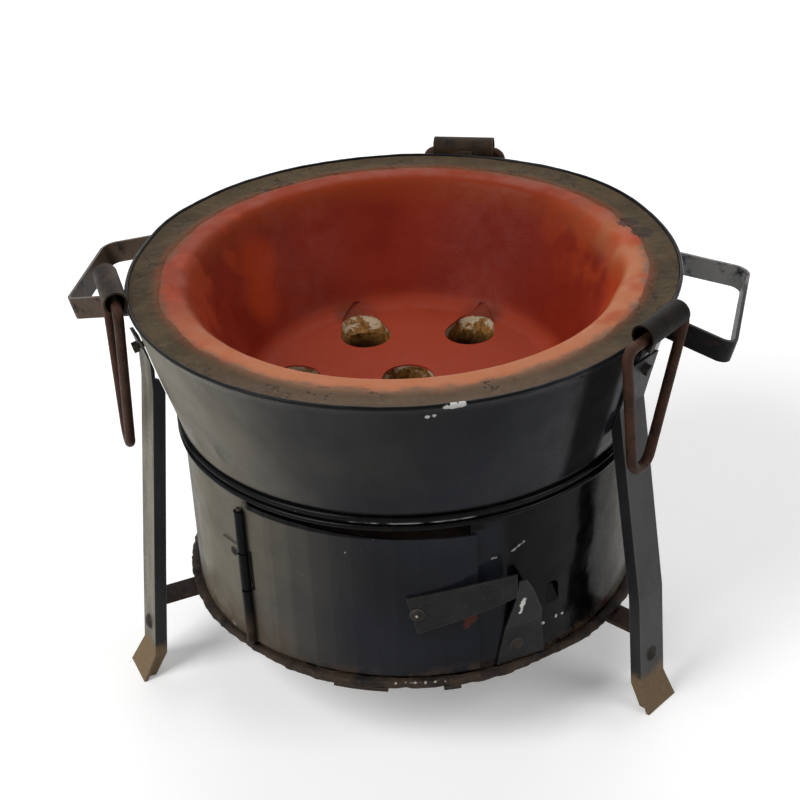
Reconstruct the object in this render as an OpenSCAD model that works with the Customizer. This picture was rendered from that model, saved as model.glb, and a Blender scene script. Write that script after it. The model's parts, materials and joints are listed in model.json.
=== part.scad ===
// Charcoal brazier: a sheet-metal drum and cone around a pierced clay fire bowl.
// It stands on three channel legs, has two strap handles and three swinging pot rests,
// and an ash door in the drum that a strap latch holds shut.
// The origin is the middle of the whole outline at ground level, and the drum's axis stands
// at axis_x, axis_y. +Z is up and -Y is the ash door's side.

/* [Frame] */
// Place of the drum's axis from the middle of the whole outline, along X
axis_x = -2.2; // [-5:0.1:5]
// Place of the drum's axis from the middle of the whole outline, along Y
axis_y = -7.9; // [-12:0.1:0]

/* [Drum and cone] */
// Thickness of the shell sheet
sheet = 1; // [0.8:0.1:1.3]
// Gap between pieces that sit against each other
fit = 0.2; // [0.1:0.05:0.3]
// Outside radius of the drum
drum_r = 126; // [105:1:152]
// Height of the drum's wall
drum_h = 101.8; // [84:0.2:123]
// Underside of the base plate above the ground
base_z = 48; // [40:1:58]
// How far the base plate stands out beyond the drum
base_lip = 5; // [4:0.5:7]
// Height of the base plate's folded edge
base_hem_h = 4; // [3.5:0.5:6]
// How far the cone's rim stands out beyond its foot
flare = 21.7; // [18:0.1:26]
// Height of the conical wall
cone_h = 76; // [63:1:92]
// Height of the collar above the drum's top edge
collar_rise = 5; // [4:0.5:8]
// How far the collar laps down over the drum
collar_lap = 4; // [3:0.5:8]
// Radius of each of the collar's two rolled beads
bead_r = 1.9; // [1.5:0.1:2.3]
// Depth of the hem that is folded in at the rim
hem_h = 4; // [3:0.5:8]

/* [Fire bowl] */
// Depth of the bowl below the rim
bowl_depth = 69; // [57:1:80]
// Step from the drum's outside in to the foot of the clay
clay_foot_in = 22; // [18:1:26]
// Thickness of the clay wall at its foot, measured level
clay_foot_wall = 24; // [18:1:28]
// Width of the flat top of the clay lip
lip_flat = 10; // [6:1:14]
// Radius of the rounded inner edge of the lip
lip_round = 9; // [6:1:12]
// Radius of the bend between the bowl's floor and wall
floor_round = 12; // [8:1:16]
// Lip's top below the rim
lip_drop = 1.5; // [1:0.5:4]
// Width of the cement between the clay lip and the rim
cement_w = 14; // [10:1:18]
// Depth of the cement ring
cement_h = 9; // [6:1:14]
// Diameter of a draught hole
hole_d = 28.5; // [22:0.5:34]
// Directions of the outer draught holes
hole_az = [51, 116, 178, 236, 291, 343]; // [0:1:359]
// Distances of the outer draught holes from the axis
hole_out = [58.5, 53, 63, 59, 59, 59]; // [48:0.5:66]
// Place of the middle draught hole behind the axis
mid_hole_y = -3; // [-5:0.5:5]
// Outward lean of the scoop above each outer hole
scoop_lean = 62; // [50:1:70]
// Length of that scoop
scoop_len = 29; // [20:1:34]

/* [Seat ring] */
// Height of the seat ring's wall below the drum's top edge
seat_drop = 5; // [4:0.5:9]
// Width of the shelf that carries the clay
seat_w = 29; // [24:1:34]

/* [Legs and struts] */
// Directions of the back, left and right leg
leg_az = [77, 194, 325]; // [0:1:359]
// Thickness of the leg sheet
leg_t = 2; // [1.5:0.1:2.5]
// Width of a leg's face
leg_w = 21; // [18:1:25]
// Turn of the three legs about upright lines through their bolts, in degrees
leg_turn = [0, 9, -8]; // [-10:1:10]
// Depth of a leg's side flanges
leg_depth = 7; // [5:0.5:9]
// Top of the leg below the rim
leg_top_drop = 17; // [16.5:0.5:24]
// Where each leg leaves the cone, below the rim
leg_bend_drop = 29; // [26:1:32]
// Where each leg's knee lies, below the rim
leg_knee_drop = 46; // [40:1:52]
// Stand-off of the three knees from the cone, face to sheet
leg_knee_out = [5, 7.4, 2.5]; // [2.5:0.1:8]
// Height of the middle of the legs
leg_mid_z = 72; // [60:1:86]
// Stand-off of the three legs from the drum at that height
leg_mid_out = [29.5, 30, 28]; // [24:0.5:34]
// Height of the ankles, where the toes bend out
leg_ankle_z = 15; // [12:1:20]
// Stand-off of the three ankles from the drum's radius
leg_ankle_out = [33.5, 36, 31]; // [28:0.5:40]
// Reach of the three toes beyond their ankles
toe_reach = [7, 9, 7]; // [5:0.5:10]
// Widening of the feet on each side
foot_flare = 2; // [0.5:0.5:3]
// Height of the flanges' lower ends
flange_z = 1.5; // [1:0.5:4]
// Diameter of the leg bolts
leg_bolt_d = 3.5; // [3:0.5:5]
// Leg bolt below the rim
leg_bolt_drop = 22.5; // [21:0.5:26]
// Width of a strut
strut_w = 15; // [12:0.5:15.5]
// Thickness of a strut
strut_t = 2; // [1.5:0.1:2.5]
// Length of a strut that lies under the base plate
strut_lap = 42; // [30:1:50]
// Height of the lower end of a strut's bent tab
strut_tab_z = 24; // [20:1:28]
// Height of the rivet through leg and strut
strut_rivet_z = 32; // [30:1:34]
// Diameter of the rivets through legs and struts
strut_rivet_d = 5; // [4:0.5:6]
// Diameter of the rivets through the base plate and the struts
base_rivet_d = 4; // [3:0.5:5]

/* [Pot rests] */
// Directions of the back, left and right pot rest
rest_az = [75, 187.5, 324.4]; // [0:0.1:359]
// Turn of each tube away from the rim's tangent
rest_twist = [5, 8, -5]; // [-9:0.5:9]
// Lengths of the three tubes
tube_len = [36, 36, 33]; // [30:1:43]
// Outside diameter of a tube
tube_d = 13; // [11:0.5:14.5]
// Wall of a tube
tube_wall = 1; // [0.8:0.1:1.2]
// Distance between a tube and the rim's edge
tube_stand = 0.8; // [0.6:0.1:2]
// Directions from the rim's edge to the three tubes' axes, above level
tube_lean = [6, 28, 45]; // [0:1:50]
// Width of the tube's fixing tail
tail_w = 12; // [10:1:16]
// Lower end of the tail below the rim
tail_drop = 14; // [12.5:0.5:16]
// Tail bolt below the rim
tail_bolt_drop = 9; // [8:0.5:11]
// Diameter of the tail bolts
tail_bolt_d = 3; // [2.5:0.5:4.5]
// Diameter of the rod that the loops are bent from
rod_d = 5.6; // [5:0.1:6]
// Gap between the rod and the bottom of the tube's bore
rod_gap = 0.3; // [0.2:0.1:0.5]
// Bend radius at the loops' upper corners, on the rod's centre line
loop_bend = 5; // [4.5:0.5:7]
// Distances of the three long shoulders from the middles of their tubes
loop_long = [22.2, 31, 29.5]; // [22:0.1:36]
// Distances of the three short shoulders beyond their tubes' ends
loop_short_gap = [4.2, 4.2, 5]; // [4.2:0.1:8]
// Sideways shift of the three loops' lower ends
loop_shift = [0, -16, -14.5]; // [-18:0.5:0]
// Bend radius at the loops' lower ends, on the rod's centre line
loop_nose = 8.8; // [6:0.2:10]
// Drop of the three loops below their tubes
loop_drop = [85, 101, 73.5]; // [60:0.5:115]

/* [Handles] */
// Height of the handle strip
handle_w = 12.7; // [10:0.1:15]
// Thickness of the handle strip
handle_t = 1.8; // [1.5:0.1:2.2]
// Middle of the handle strip below the rim, where the handles meet the cone
handle_drop = 22.4; // [19:0.1:25]
// Directions in which the left and the right handle stand out
handle_az = [162, 352]; // [0:1:360]
// Bend radius of the handles' corners
handle_bend = 6; // [3:0.5:8]
// Directions of the left handle's back and front foot
left_feet = [141.8, 176.8]; // [136:0.2:180]
// How far the left handle's back and front corner stand out
left_out = [61.3, 47.8]; // [28:0.1:68]
// Places of the left handle's back and front corner along it
left_along = [-50.6, 25.3]; // [-60:0.1:60]
// Directions of the right handle's front and back foot
right_feet = [342.4, 373.4]; // [338:0.2:378]
// How far the right handle's front and back corner stand out
right_out = [32.5, 44.3]; // [28:0.1:66]
// Places of the right handle's front and back corner along it
right_along = [-36.3, 56.7]; // [-60:0.1:60]
// Turn of the tabs at the left and the right handle's feet, in degrees round the cone
foot_turn = [-6.5, 6.5]; // [-8:0.5:8]
// Diameter of the handle rivets
handle_rivet_d = 4; // [3:0.5:5]

/* [Ash door] */
// Direction of the hinge
hinge_az = 225.4; // [220:0.1:232]
// Direction of the door's free edge
door_end_az = 284; // [276:0.5:286]
// Number of flats that the door is bent into
door_flats = 9; // [6:1:12]
// Lower edge of the door above the drum's foot
door_low = 4.8; // [3:0.1:8]
// Upper edge of the door below the collar, at the hinge
door_top_gap = 2.5; // [1.5:0.1:5]
// Further drop of the upper edge at the free end
door_sag = 4.5; // [0:0.1:6]
// Gap between the door and the drum behind it
door_gap = 0.7; // [0.5:0.1:1]
// Lap of the door over the edges of its opening
door_lap = 1.2; // [0.8:0.1:2]
// Outside diameter of the hinge knuckles
knuckle_d = 5.6; // [5.2:0.1:6.4]
// Diameter of the rivet in the fixed leaf
leaf_rivet_d = 3; // [2.5:0.5:4]
// Place of that rivet below the leaf's upper end
leaf_rivet_drop = 5; // [4:0.5:8]
// Diameter of the hinge pin
pin_d = 3; // [2.6:0.1:3.2]
// Running gap round the pin in the door's knuckles
pin_gap = 0.08; // [0.03:0.01:0.1]
// Heights of the fixed knuckle, above the drum's foot
leaf_span = [41.5, 64]; // [30:0.5:80]
// Gap between neighbouring knuckles
knuckle_gap = 1.5; // [1:0.1:2]
// Ends of the door's knuckles, above the drum's foot
knuckle_span = [6, 91]; // [4:0.5:94]
// Turn of the fixed leaf round the drum, in degrees
leaf_turn = 9.5; // [7:0.5:12]

/* [Latch] */
// Direction of the latch's pivot
latch_az = 269.5; // [260:0.5:272]
// Height of the pivot above the drum's foot
latch_z = 46.4; // [40:0.2:52]
// Thickness of the latch strap
latch_t = 1.2; // [1:0.1:1.5]
// Length of the strap from pivot to tip
latch_len = 52; // [44:0.5:52.5]
// Rise of the strap's middle line at its tip
latch_rise = 13; // [8:0.5:16]
// Width of the strap at the pivot
latch_root_w = 22; // [18:1:24]
// Width of the strap at the tip
latch_tip_w = 14; // [10:1:16]
// Radius that the strap is bent to
latch_curve = 400; // [350:10:600]
// Gap between strap and door
latch_gap = 0.35; // [0.3:0.05:0.5]
// Diameter of the latch's pivot rivet
latch_rivet_d = 4; // [3:0.5:5]
// Direction of the keeper's rivet
keeper_az = 293.4; // [292:0.2:296]
// Diameter of the keeper's rivet
keeper_rivet_d = 4; // [3:0.5:5]
// Height of the keeper's rivet above the drum's foot
keeper_rivet_z = 14.5; // [12:0.5:18]
// Height of the keeper's bend above the drum's foot
keeper_bend_z = 26; // [22:1:32]
// Height of the keeper's tip above the drum's foot
keeper_top_z = 60; // [56:1:64]
// Thickness of the keeper
keeper_t = 1.2; // [1:0.1:1.5]
// Stand-off of the keeper's tip from the drum
keeper_stand = 8; // [6:0.5:10]
// Width of the punched slot beside the keeper
slot_w = 8.5; // [6:0.5:10]
// Direction of the slot
slot_az = 304; // [303:0.5:306]
// Lower and upper end of the slot above the drum's foot
slot_span = [32, 45.5]; // [28:0.5:50]

/* [Hidden] */
$fn = 96;

BACK = 0;
LEFT = 1;
RIGHT = 2;
SIDES = [BACK, LEFT, RIGHT];
// Radial play of a fixed rivet or bolt in its hole
play = 0.1;
// Overlap that keeps a cut clear of a face
cut = 1;
// How far a straight stretch runs into the bend at its end
seam = 0.4;
// Extra thickness of a bend, which covers that end
swell = 0.06;

drum_z = base_z + sheet + fit;
drum_top = drum_z + drum_h;
collar_in = drum_r + fit + play;
collar_out = collar_in + sheet;
cone_z = drum_top + collar_rise;
rim_z = cone_z + cone_h;
rim_r = collar_out + flare;
cone_tilt = atan(flare / cone_h);
base_r = drum_r + base_lip;

seat_z = drum_top - seat_drop - sheet;
clay_z = seat_z + sheet + fit;
floor_z = rim_z - bowl_depth;
clay_foot_r = drum_r - clay_foot_in;
floor_r = clay_foot_r - clay_foot_wall;
lip_z = rim_z - lip_drop;
lip_out = rim_r - 2 * sheet - fit - cement_w;
lip_centre = [lip_out - lip_flat, lip_z - lip_round];
cement_z = lip_z - cement_h;
pack_z = drum_top + 2 * fit + sheet;

tube_r = tube_d / 2;
bore_r = tube_r - tube_wall;
rod_drop = bore_r - rod_d / 2 - rod_gap;

handle_z = rim_z - handle_drop;

door_in = drum_r + door_gap;
door_out = door_in + sheet;
hinge_r = door_in + knuckle_d / 2 + play;
knuckle_turn = atan(knuckle_d / 2 / hinge_r);
door_z0 = drum_z + door_low;
door_z1 = drum_top - collar_lap - door_top_gap;
opening_az = [hinge_az + door_lap, door_end_az - door_lap];
latch_r = door_out + latch_gap;
latch_height = drum_z + latch_z;
keeper_r = drum_r + fit;
leg_pivot = cone_r(rim_z - leg_bolt_drop);
leg_bolt_reach = leg_t + sheet + leg_bolt_d * 1.6;
tail_bolt_reach = tube_wall + sheet + tail_bolt_d * 1.6;
// Width across the corners of a bolt head or nut, its height, and a rivet's head, per shank
bolt_corners = 1.95;
bolt_head_h = 0.85;
rivet_head = 1.9;

// Outside radius of the cone at height z
function cone_r(z) = collar_out + (z - cone_z) * flare / cone_h;

// Radius and height of the axis of tube i
function tube_axis(i) = [rim_r, rim_z] + polar(tube_r + tube_stand, tube_lean[i]);

// Point at radius r and direction a
function polar(r, a) = [r * cos(a), r * sin(a)];

// The list back to front
function reversed(list) = [for (i = [len(list) - 1 : -1 : 0]) list[i]];

// A point and one shifted inward by t
function inset(points, t) = [for (p = points) [p[0] - t, p[1]]];

// Outer face of leg i in the plane of radius and height, from top to toe
function leg_line(i) = [
    [cone_r(rim_z - leg_top_drop) + fit + leg_t, rim_z - leg_top_drop],
    [cone_r(rim_z - leg_bend_drop) + fit + leg_t, rim_z - leg_bend_drop],
    [cone_r(rim_z - leg_knee_drop) + leg_knee_out[i], rim_z - leg_knee_drop],
    [drum_r + leg_mid_out[i], leg_mid_z],
    [drum_r + leg_ankle_out[i], leg_ankle_z],
    [drum_r + leg_ankle_out[i] + toe_reach[i], 0]
];

// Radius of that face at height z
function leg_r(i, z) = lookup(z, [for (p = leg_line(i)) [p[1], p[0]]]);

// Lean of that face from upright at height z
function leg_lean(i, z) = atan((leg_r(i, z - 4) - leg_r(i, z + 4)) / 8);

// Stands an outline of radius and height up as a slab of the given width
module slab(width)
    rotate([90, 0, 0])
        linear_extrude(width, center = true)
            children();

// Stands an outline of sideways place and height up, and drives it outward from radius r
module plate(r, depth)
    translate([r, 0, 0])
        rotate([90, 0, 90])
            linear_extrude(depth)
                children();

// Ring or sector turned from an outline of radius and height
module sector(from, to)
    rotate([0, 0, from])
        rotate_extrude(angle = to - from)
            children();

// Places a piece on the cone's outside, with +Z along its outward normal
module on_cone(az, z)
    rotate([0, 0, az])
        translate([cone_r(z), 0, z])
            rotate([0, 90 + cone_tilt, 0])
                children();

// Places a piece on the drum's outside at radius r, with +Z outward
module on_drum(az, z, r)
    rotate([0, 0, az])
        translate([r, 0, z])
            rotate([0, 90, 0])
                children();

// Places a piece in the plane of leg i
module at_leg(i)
    rotate([0, 0, leg_az[i]])
        translate([leg_pivot, 0, 0])
            rotate([0, 0, leg_turn[i]])
                translate([-leg_pivot, 0, 0])
                    children();

// Places a piece on the outer face of leg i, with +Z outward
module on_leg(i, z)
    at_leg(i)
        translate([leg_r(i, z), 0, z])
            rotate([0, 90 - leg_lean(i, z), 0])
                children();

// Places a pot rest's tube and rod, with +Y along the tube
module at_rest(i)
    rotate([0, 0, rest_az[i]])
        translate([tube_axis(i)[0], 0, tube_axis(i)[1]])
            rotate([0, 0, rest_twist[i]])
                children();

// Domed head of diameter d and height h, standing on z = 0
module dome(d, h) {
    ball_r = (d * d / 4 + h * h) / (2 * h);
    rotate_extrude()
        intersection() {
            translate([0, h - ball_r])
                circle(ball_r);
            square([d, h]);
        }
}

// Rivet with its head on z = 0 and its closed tail below the gripped stack
module rivet(d, grip) {
    tail_h = d / 3;
    translate([0, 0, play])
        dome(d * rivet_head, d * 0.45);
    translate([0, 0, -grip - play - tail_h])
        cylinder(d = d - 2 * play, h = grip + 2 * play + tail_h + 0.2);
    translate([0, 0, -grip - play - tail_h])
        cylinder(d = d * 1.5, h = tail_h);
}

// Hole for such a rivet or for a bolt
module drill(d, depth)
    translate([0, 0, -depth])
        cylinder(d = d, h = 2 * depth);

// Hexagon-headed bolt with its head on z = 0
module bolt(d, reach) {
    translate([0, 0, play])
        cylinder(d = d * bolt_corners, h = d * bolt_head_h, $fn = 6);
    translate([0, 0, -reach])
        cylinder(d = d - 2 * play, h = reach + play + 0.1);
}

// Everything inside the cone's outer face, grown by gap
module cone_space(gap)
    rotate_extrude()
        polygon([
            [0, cone_z],
            [collar_out + gap, cone_z],
            [rim_r + gap, rim_z],
            [0, rim_z]
        ]);

// ---- drum, base and cone -------------------------------------------------------------

// Drum wall with its out-turned foot, door opening and punched slot
module lower_shell() {
    slot_r = slot_w / 2;
    color("#23272c") {
        difference() {
            rotate_extrude()
                union() {
                    translate([drum_r - sheet, drum_z])
                        square([sheet, drum_h]);
                    translate([drum_r - sheet, drum_z])
                        square([sheet + base_lip - sheet - 2 * fit, sheet]);
                }
            sector(opening_az[0], opening_az[1])
                translate([drum_r - 2 * sheet, door_z0 + door_lap])
                    square([4 * sheet, door_z1 + door_top_gap - fit - door_z0 - door_lap]);
            on_drum(hinge_az - leaf_turn / 2, drum_z + leaf_span[1] - leaf_rivet_drop, drum_r)
                drill(leaf_rivet_d, 5);
            on_drum(keeper_az, drum_z + keeper_rivet_z, drum_r)
                drill(keeper_rivet_d, 5);
            rotate([0, 0, slot_az])
                plate(drum_r - 5, 10)
                    union() {
                        translate([-slot_r, drum_z + slot_span[0]])
                            square([slot_w, slot_span[1] - slot_span[0] - slot_r]);
                        translate([0, drum_z + slot_span[1] - slot_r])
                            circle(slot_r);
                    }
        }
        slot_flap();
    }
}

// Flap left at the foot of the slot and bent inward
module slot_flap() {
    half = slot_w / 2 - play;
    z0 = drum_z + slot_span[0];
    z1 = z0 + 0.7 * (slot_span[1] - slot_span[0]);
    edge_r = drum_r * cos(asin(half / drum_r));
    rotate([0, 0, slot_az])
        slab(2 * half)
            polygon([
                [edge_r - sheet, z0 - 0.5],
                [edge_r, z0 - 0.5],
                [edge_r, z0],
                [edge_r - 3 * sheet, z1],
                [edge_r - 4 * sheet, z1],
                [edge_r - sheet, z0]
            ]);
}

// Base plate whose folded edge holds the drum's foot
module base_plate()
    color("#4a3a30")
        difference() {
            rotate_extrude()
                union() {
                    translate([0, base_z])
                        square([base_r, sheet]);
                    translate([base_r - sheet, base_z])
                        square([sheet, base_hem_h]);
                    translate([drum_r + 2 * fit, base_z + base_hem_h - sheet])
                        square([base_lip - 2 * fit, sheet]);
                }
            for (i = SIDES)
                at_leg(i)
                    translate([drum_r - strut_lap / 2, 0, base_z])
                        drill(base_rivet_d, 5);
        }

// Two crimps under the front of the base plate's edge
module base_tabs()
    color("#55443a")
        for (span = [[249, 262], [275, 279]])
            sector(span[0], span[1])
                translate([base_r - 4.5, base_z - 2 - fit / 2])
                    square([4.5, 2]);

// Cone with its folded rim and the beaded collar that grips the drum
module upper_shell()
    color("#1d2126")
        difference() {
            rotate_extrude()
                upper_profile();
            for (i = SIDES) {
                on_cone(leg_az[i], rim_z - leg_bolt_drop)
                    drill(leg_bolt_d, 6);
                on_cone(rest_az[i], rim_z - tail_bolt_drop)
                    drill(tail_bolt_d, 6);
            }
            for (spot = foot_rivets())
                on_cone(spot[0], spot[1])
                    drill(handle_rivet_d, 6);
        }

// Section of the cone, its hem and its collar
module upper_profile() {
    hem_z = rim_z - hem_h;
    edge_z = rim_z - sheet;
    polygon([
        [collar_in, cone_z],
        [collar_out, cone_z],
        [cone_r(edge_z), edge_z],
        [cone_r(edge_z) - sheet, edge_z]
    ]);
    polygon([
        [cone_r(hem_z) - 2 * sheet, hem_z],
        [cone_r(hem_z) - sheet / 2, hem_z],
        [cone_r(edge_z) - sheet / 2, edge_z],
        [cone_r(edge_z) - 2 * sheet, edge_z]
    ]);
    translate([cone_r(edge_z) - sheet / cos(cone_tilt), edge_z])
        circle(sheet);
    intersection() {
        translate([collar_in, drum_top - collar_lap])
            square([4 * sheet, collar_lap + collar_rise + 0.01]);
        union() {
            translate([collar_in, drum_top - collar_lap])
                square([sheet, collar_lap + collar_rise + 0.01]);
            for (z = [drum_top - collar_lap + bead_r, cone_z - bead_r - fit])
                translate([collar_in + fit, z])
                    circle(bead_r);
        }
    }
}

// ---- fire bowl and what carries it ---------------------------------------------------

// Ring that hangs on the drum's top edge and carries the clay on its shelf
module seat_ring()
    color("#3a3633")
        rotate_extrude()
            union() {
                translate([drum_r - sheet - fit - seat_w, seat_z])
                    square([seat_w, sheet]);
                translate([drum_r - 2 * sheet - fit, seat_z])
                    square([sheet, drum_top + fit + sheet - seat_z]);
                translate([drum_r - 2 * sheet - fit, drum_top + fit])
                    square([2 * sheet + fit, sheet]);
            }

// Section of the bowl's hollow
module bowl_section() {
    rise = lip_centre[1] - floor_z;
    run = lip_centre[0] - lip_round - floor_r;
    wall_lean = atan(run / rise);
    // Centre of the bend between floor and wall, and where the bend meets the wall
    bend = [floor_r - floor_round * (cos(wall_lean) - sin(wall_lean)), floor_z + floor_round];
    bend_end = bend + floor_round * [cos(wall_lean), -sin(wall_lean)];
    lip_touch = lip_centre + lip_round * [-cos(wall_lean), sin(wall_lean)];
    difference() {
        union() {
            polygon([
                [0, floor_z],
                [bend[0], floor_z],
                bend_end,
                lip_touch,
                [lip_centre[0], lip_z + cut],
                [0, lip_z + cut]
            ]);
            translate(bend)
                circle(floor_round);
        }
        translate(lip_centre)
            circle(lip_round);
    }
}

// Clay bowl with its draught holes, each outer one scooped up the wall
module clay_liner()
    color("#a8452f")
        difference() {
            rotate_extrude()
                difference() {
                    polygon([
                        [0, clay_z],
                        [clay_foot_r, clay_z],
                        [lip_out, cement_z],
                        [lip_out, lip_z],
                        [0, lip_z]
                    ]);
                    intersection() {
                        bowl_section();
                        square([rim_r, rim_z + cut]);
                    }
                }
            translate([0, mid_hole_y, 0])
                draught_hole();
            for (k = [0 : len(hole_az) - 1])
                rotate([0, 0, hole_az[k]])
                    translate([hole_out[k], 0, 0]) {
                        draught_hole();
                        translate([0, 0, floor_z - 3])
                            rotate([0, scoop_lean, 0])
                                cylinder(r1 = hole_d / 2 - 0.5, r2 = 3, h = scoop_len);
                    }
        }

// One upright hole through the bowl's floor
module draught_hole()
    translate([0, 0, clay_z - cut])
        cylinder(d = hole_d, h = floor_z - clay_z + cut + 6);

// Cement ring that closes the top between the clay lip and the rim
module rim_cement()
    color("#6d6552")
        difference() {
            rotate_extrude()
                polygon([
                    [lip_out + fit, cement_z],
                    [cone_r(cement_z) - sheet - 2 * fit, cement_z],
                    [cone_r(rim_z - hem_h) - sheet - 2 * fit, rim_z - hem_h - 2 * fit],
                    [cone_r(rim_z - hem_h) - 2 * sheet - 2 * fit, rim_z - hem_h],
                    [rim_r - 2 * sheet - 3 * fit, rim_z - sheet],
                    [rim_r - 2 * sheet - 3 * fit - 3, rim_z - sheet - 0.4],
                    [lip_out + fit, lip_z - 0.6]
                ]);
            clench_pockets();
        }

// Packed ash and mortar between the clay and the cone, with pockets for what is clenched there
module ash_insulation()
    color("#8c857a")
        difference() {
            rotate_extrude()
                polygon([
                    [collar_in - fit, pack_z],
                    [collar_in - fit, cone_z],
                    [cone_r(cement_z) - sheet - 2 * fit, cement_z - fit],
                    [lip_out + 2 * fit, cement_z - fit],
                    [clay_r(pack_z) + 2 * fit, pack_z]
                ]);
            clench_pockets();
        }

// Room behind the cone's sheet for the nuts and the closed ends of bolts and rivets
module clench_pockets() {
    for (i = SIDES) {
        on_cone(leg_az[i], rim_z - leg_bolt_drop)
            drill(leg_bolt_d * bolt_corners + 1, leg_bolt_reach + 1);
        on_cone(rest_az[i], rim_z - tail_bolt_drop)
            drill(tail_bolt_d * bolt_corners + 1, tail_bolt_reach + 1);
    }
    for (spot = foot_rivets())
        on_cone(spot[0], spot[1])
            drill(handle_rivet_d * 1.5 + 1, handle_rivet_d);
}

// Outside radius of the clay at height z
function clay_r(z) = clay_foot_r + (z - clay_z) * (lip_out - clay_foot_r) / (cement_z - clay_z);

// ---- legs and struts -----------------------------------------------------------------

// Pressed channel leg: a face strip with two rounded side flanges
module leg(i) {
    line = leg_line(i);
    color("#3c3f42")
        difference() {
            at_leg(i) {
                intersection() {
                    slab(leg_w + 2 * foot_flare)
                        polygon(concat(line, reversed(inset(line, leg_t))));
                    plate(0, 2 * drum_r)
                        leg_front();
                }
                for (side = [-1, 1])
                    translate([0, side * (leg_w - leg_t) / 2, 0])
                        slab(leg_t)
                            flange_outline(i);
            }
            cone_space(fit);
            on_cone(leg_az[i], rim_z - leg_bolt_drop)
                drill(leg_bolt_d, 3 * leg_t);
            on_leg(i, strut_rivet_z)
                drill(strut_rivet_d, 3 * leg_t);
        }
}

// Front view of a leg's face, which widens at the foot
module leg_front() {
    half = leg_w / 2;
    polygon([
        [-half - foot_flare, -cut],
        [half + foot_flare, -cut],
        [half, leg_ankle_z],
        [half, rim_z],
        [-half, rim_z],
        [-half, leg_ankle_z]
    ]);
}

// Side flange of leg i, rounded off at its upper end
module flange_outline(i) {
    line = leg_line(i);
    high = rim_z - leg_knee_drop;
    intersection() {
        polygon(concat(line, reversed(inset(line, leg_depth))));
        union() {
            translate([0, flange_z])
                square([2 * drum_r, high - flange_z]);
            translate([leg_r(i, high), high])
                circle(leg_depth);
        }
    }
}

// Flat strip from under the base plate to the leg, with its end bent down inside the channel
module strut(i) {
    top = base_z - fit;
    start = drum_r - strut_lap;
    color("#5b4436")
        difference() {
            at_leg(i)
                slab(strut_w)
                    polygon([
                        [start, top],
                        [strut_face(i, top), top],
                        [strut_face(i, strut_tab_z), strut_tab_z],
                        [strut_face(i, strut_tab_z) - strut_t, strut_tab_z],
                        [strut_face(i, top - strut_t) - strut_t, top - strut_t],
                        [start, top - strut_t]
                    ]);
            at_leg(i)
                translate([drum_r - strut_lap / 2, 0, base_z])
                    drill(base_rivet_d, 3 * strut_t);
            on_leg(i, strut_rivet_z)
                drill(strut_rivet_d, leg_t + 3 * strut_t);
        }
}

// Radius of the strut's bent end, which lies against the inside of leg i
function strut_face(i, z) = leg_r(i, z) - leg_t - fit;

// ---- pot rests -----------------------------------------------------------------------

// Rolled tube with the tail that is bolted to the cone
module rest_tube(i) {
    low = rim_z - tail_drop;
    high = rim_z + tube_stand * sin(tube_lean[i]) + tube_wall;
    color("#2b2d30")
        difference() {
            union() {
                at_rest(i)
                    rotate([90, 0, 0])
                        cylinder(r = tube_r, h = tube_len[i], center = true);
                rotate([0, 0, rest_az[i]])
                    slab(tail_w)
                        polygon([
                            [cone_r(low) + fit, low],
                            [cone_r(low) + fit + tube_wall, low],
                            [cone_r(high) + fit + tube_wall, high],
                            [cone_r(high) + fit, high]
                        ]);
            }
            at_rest(i)
                rotate([90, 0, 0])
                    cylinder(r = bore_r, h = tube_len[i] + 2 * cut, center = true);
            on_cone(rest_az[i], rim_z - tail_bolt_drop)
                drill(tail_bolt_d, 6);
        }
}

// Straight rod from p to q in the loop's plane, let a little way into the bends at its ends
module rod_bar(p, q) {
    step = q - p;
    translate([p[0], p[1], 0])
        rotate([0, 0, atan2(step[1], step[0])])
            rotate([0, 90, 0])
                translate([0, 0, -seam])
                    cylinder(d = rod_d, h = norm(step) + 2 * seam);
}

// Bent rod about centre c, from angle a to angle b, a hair thicker than the straight rod
module rod_arc(c, r, a, b)
    translate([c[0], c[1], 0])
        rotate([0, 0, a])
            rotate_extrude(angle = b - a)
                translate([r, 0])
                    circle(d = rod_d + swell);

// Closed rod loop that swings in tube i
module pot_rest(i) {
    long_bend = [-loop_long[i] + loop_bend, -loop_bend];
    short_bend = [tube_len[i] / 2 + loop_short_gap[i] - loop_bend, -loop_bend];
    nose = [loop_shift[i], loop_nose - loop_drop[i]];
    to_long = nose - long_bend;
    to_short = nose - short_bend;
    // Directions in which the two straight arms touch their bends
    long_side = atan2(to_long[1], to_long[0]) - acos((loop_bend - loop_nose) / norm(to_long));
    short_side = atan2(to_short[1], to_short[0]) + acos((loop_bend - loop_nose) / norm(to_short));
    color("#5a3f33")
        at_rest(i)
            translate([0, 0, -rod_drop])
                rotate([90, 0, 90]) {
                    rod_bar([long_bend[0], 0], [short_bend[0], 0]);
                    rod_arc(long_bend, loop_bend, 90, long_side + 360);
                    rod_bar(long_bend + polar(loop_bend, long_side), nose + polar(loop_nose, long_side));
                    rod_arc(nose, loop_nose, long_side, short_side);
                    rod_bar(short_bend + polar(loop_bend, short_side), nose + polar(loop_nose, short_side));
                    rod_arc(short_bend, loop_bend, short_side, 90);
                }
}

// ---- handles -------------------------------------------------------------------------

// Height at which handle i, which droops square to the cone, meets the cone in direction az
function foot_z(i, az) =
    let (
        round = cos(az - handle_az[i]),
        r = cone_r(handle_z)
    ) handle_z + r * (1 - round) / (1 / tan(cone_tilt) + tan(cone_tilt) * round);

// Place of the same foot in handle i's own plane
function foot_at(i, az) =
    let (
        lift = foot_z(i, az) - handle_z,
        r = cone_r(foot_z(i, az)),
        apart = az - handle_az[i],
        out = r * cos(apart) - cone_r(handle_z)
    ) [out * cos(cone_tilt) - lift * sin(cone_tilt), r * sin(apart)];

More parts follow.
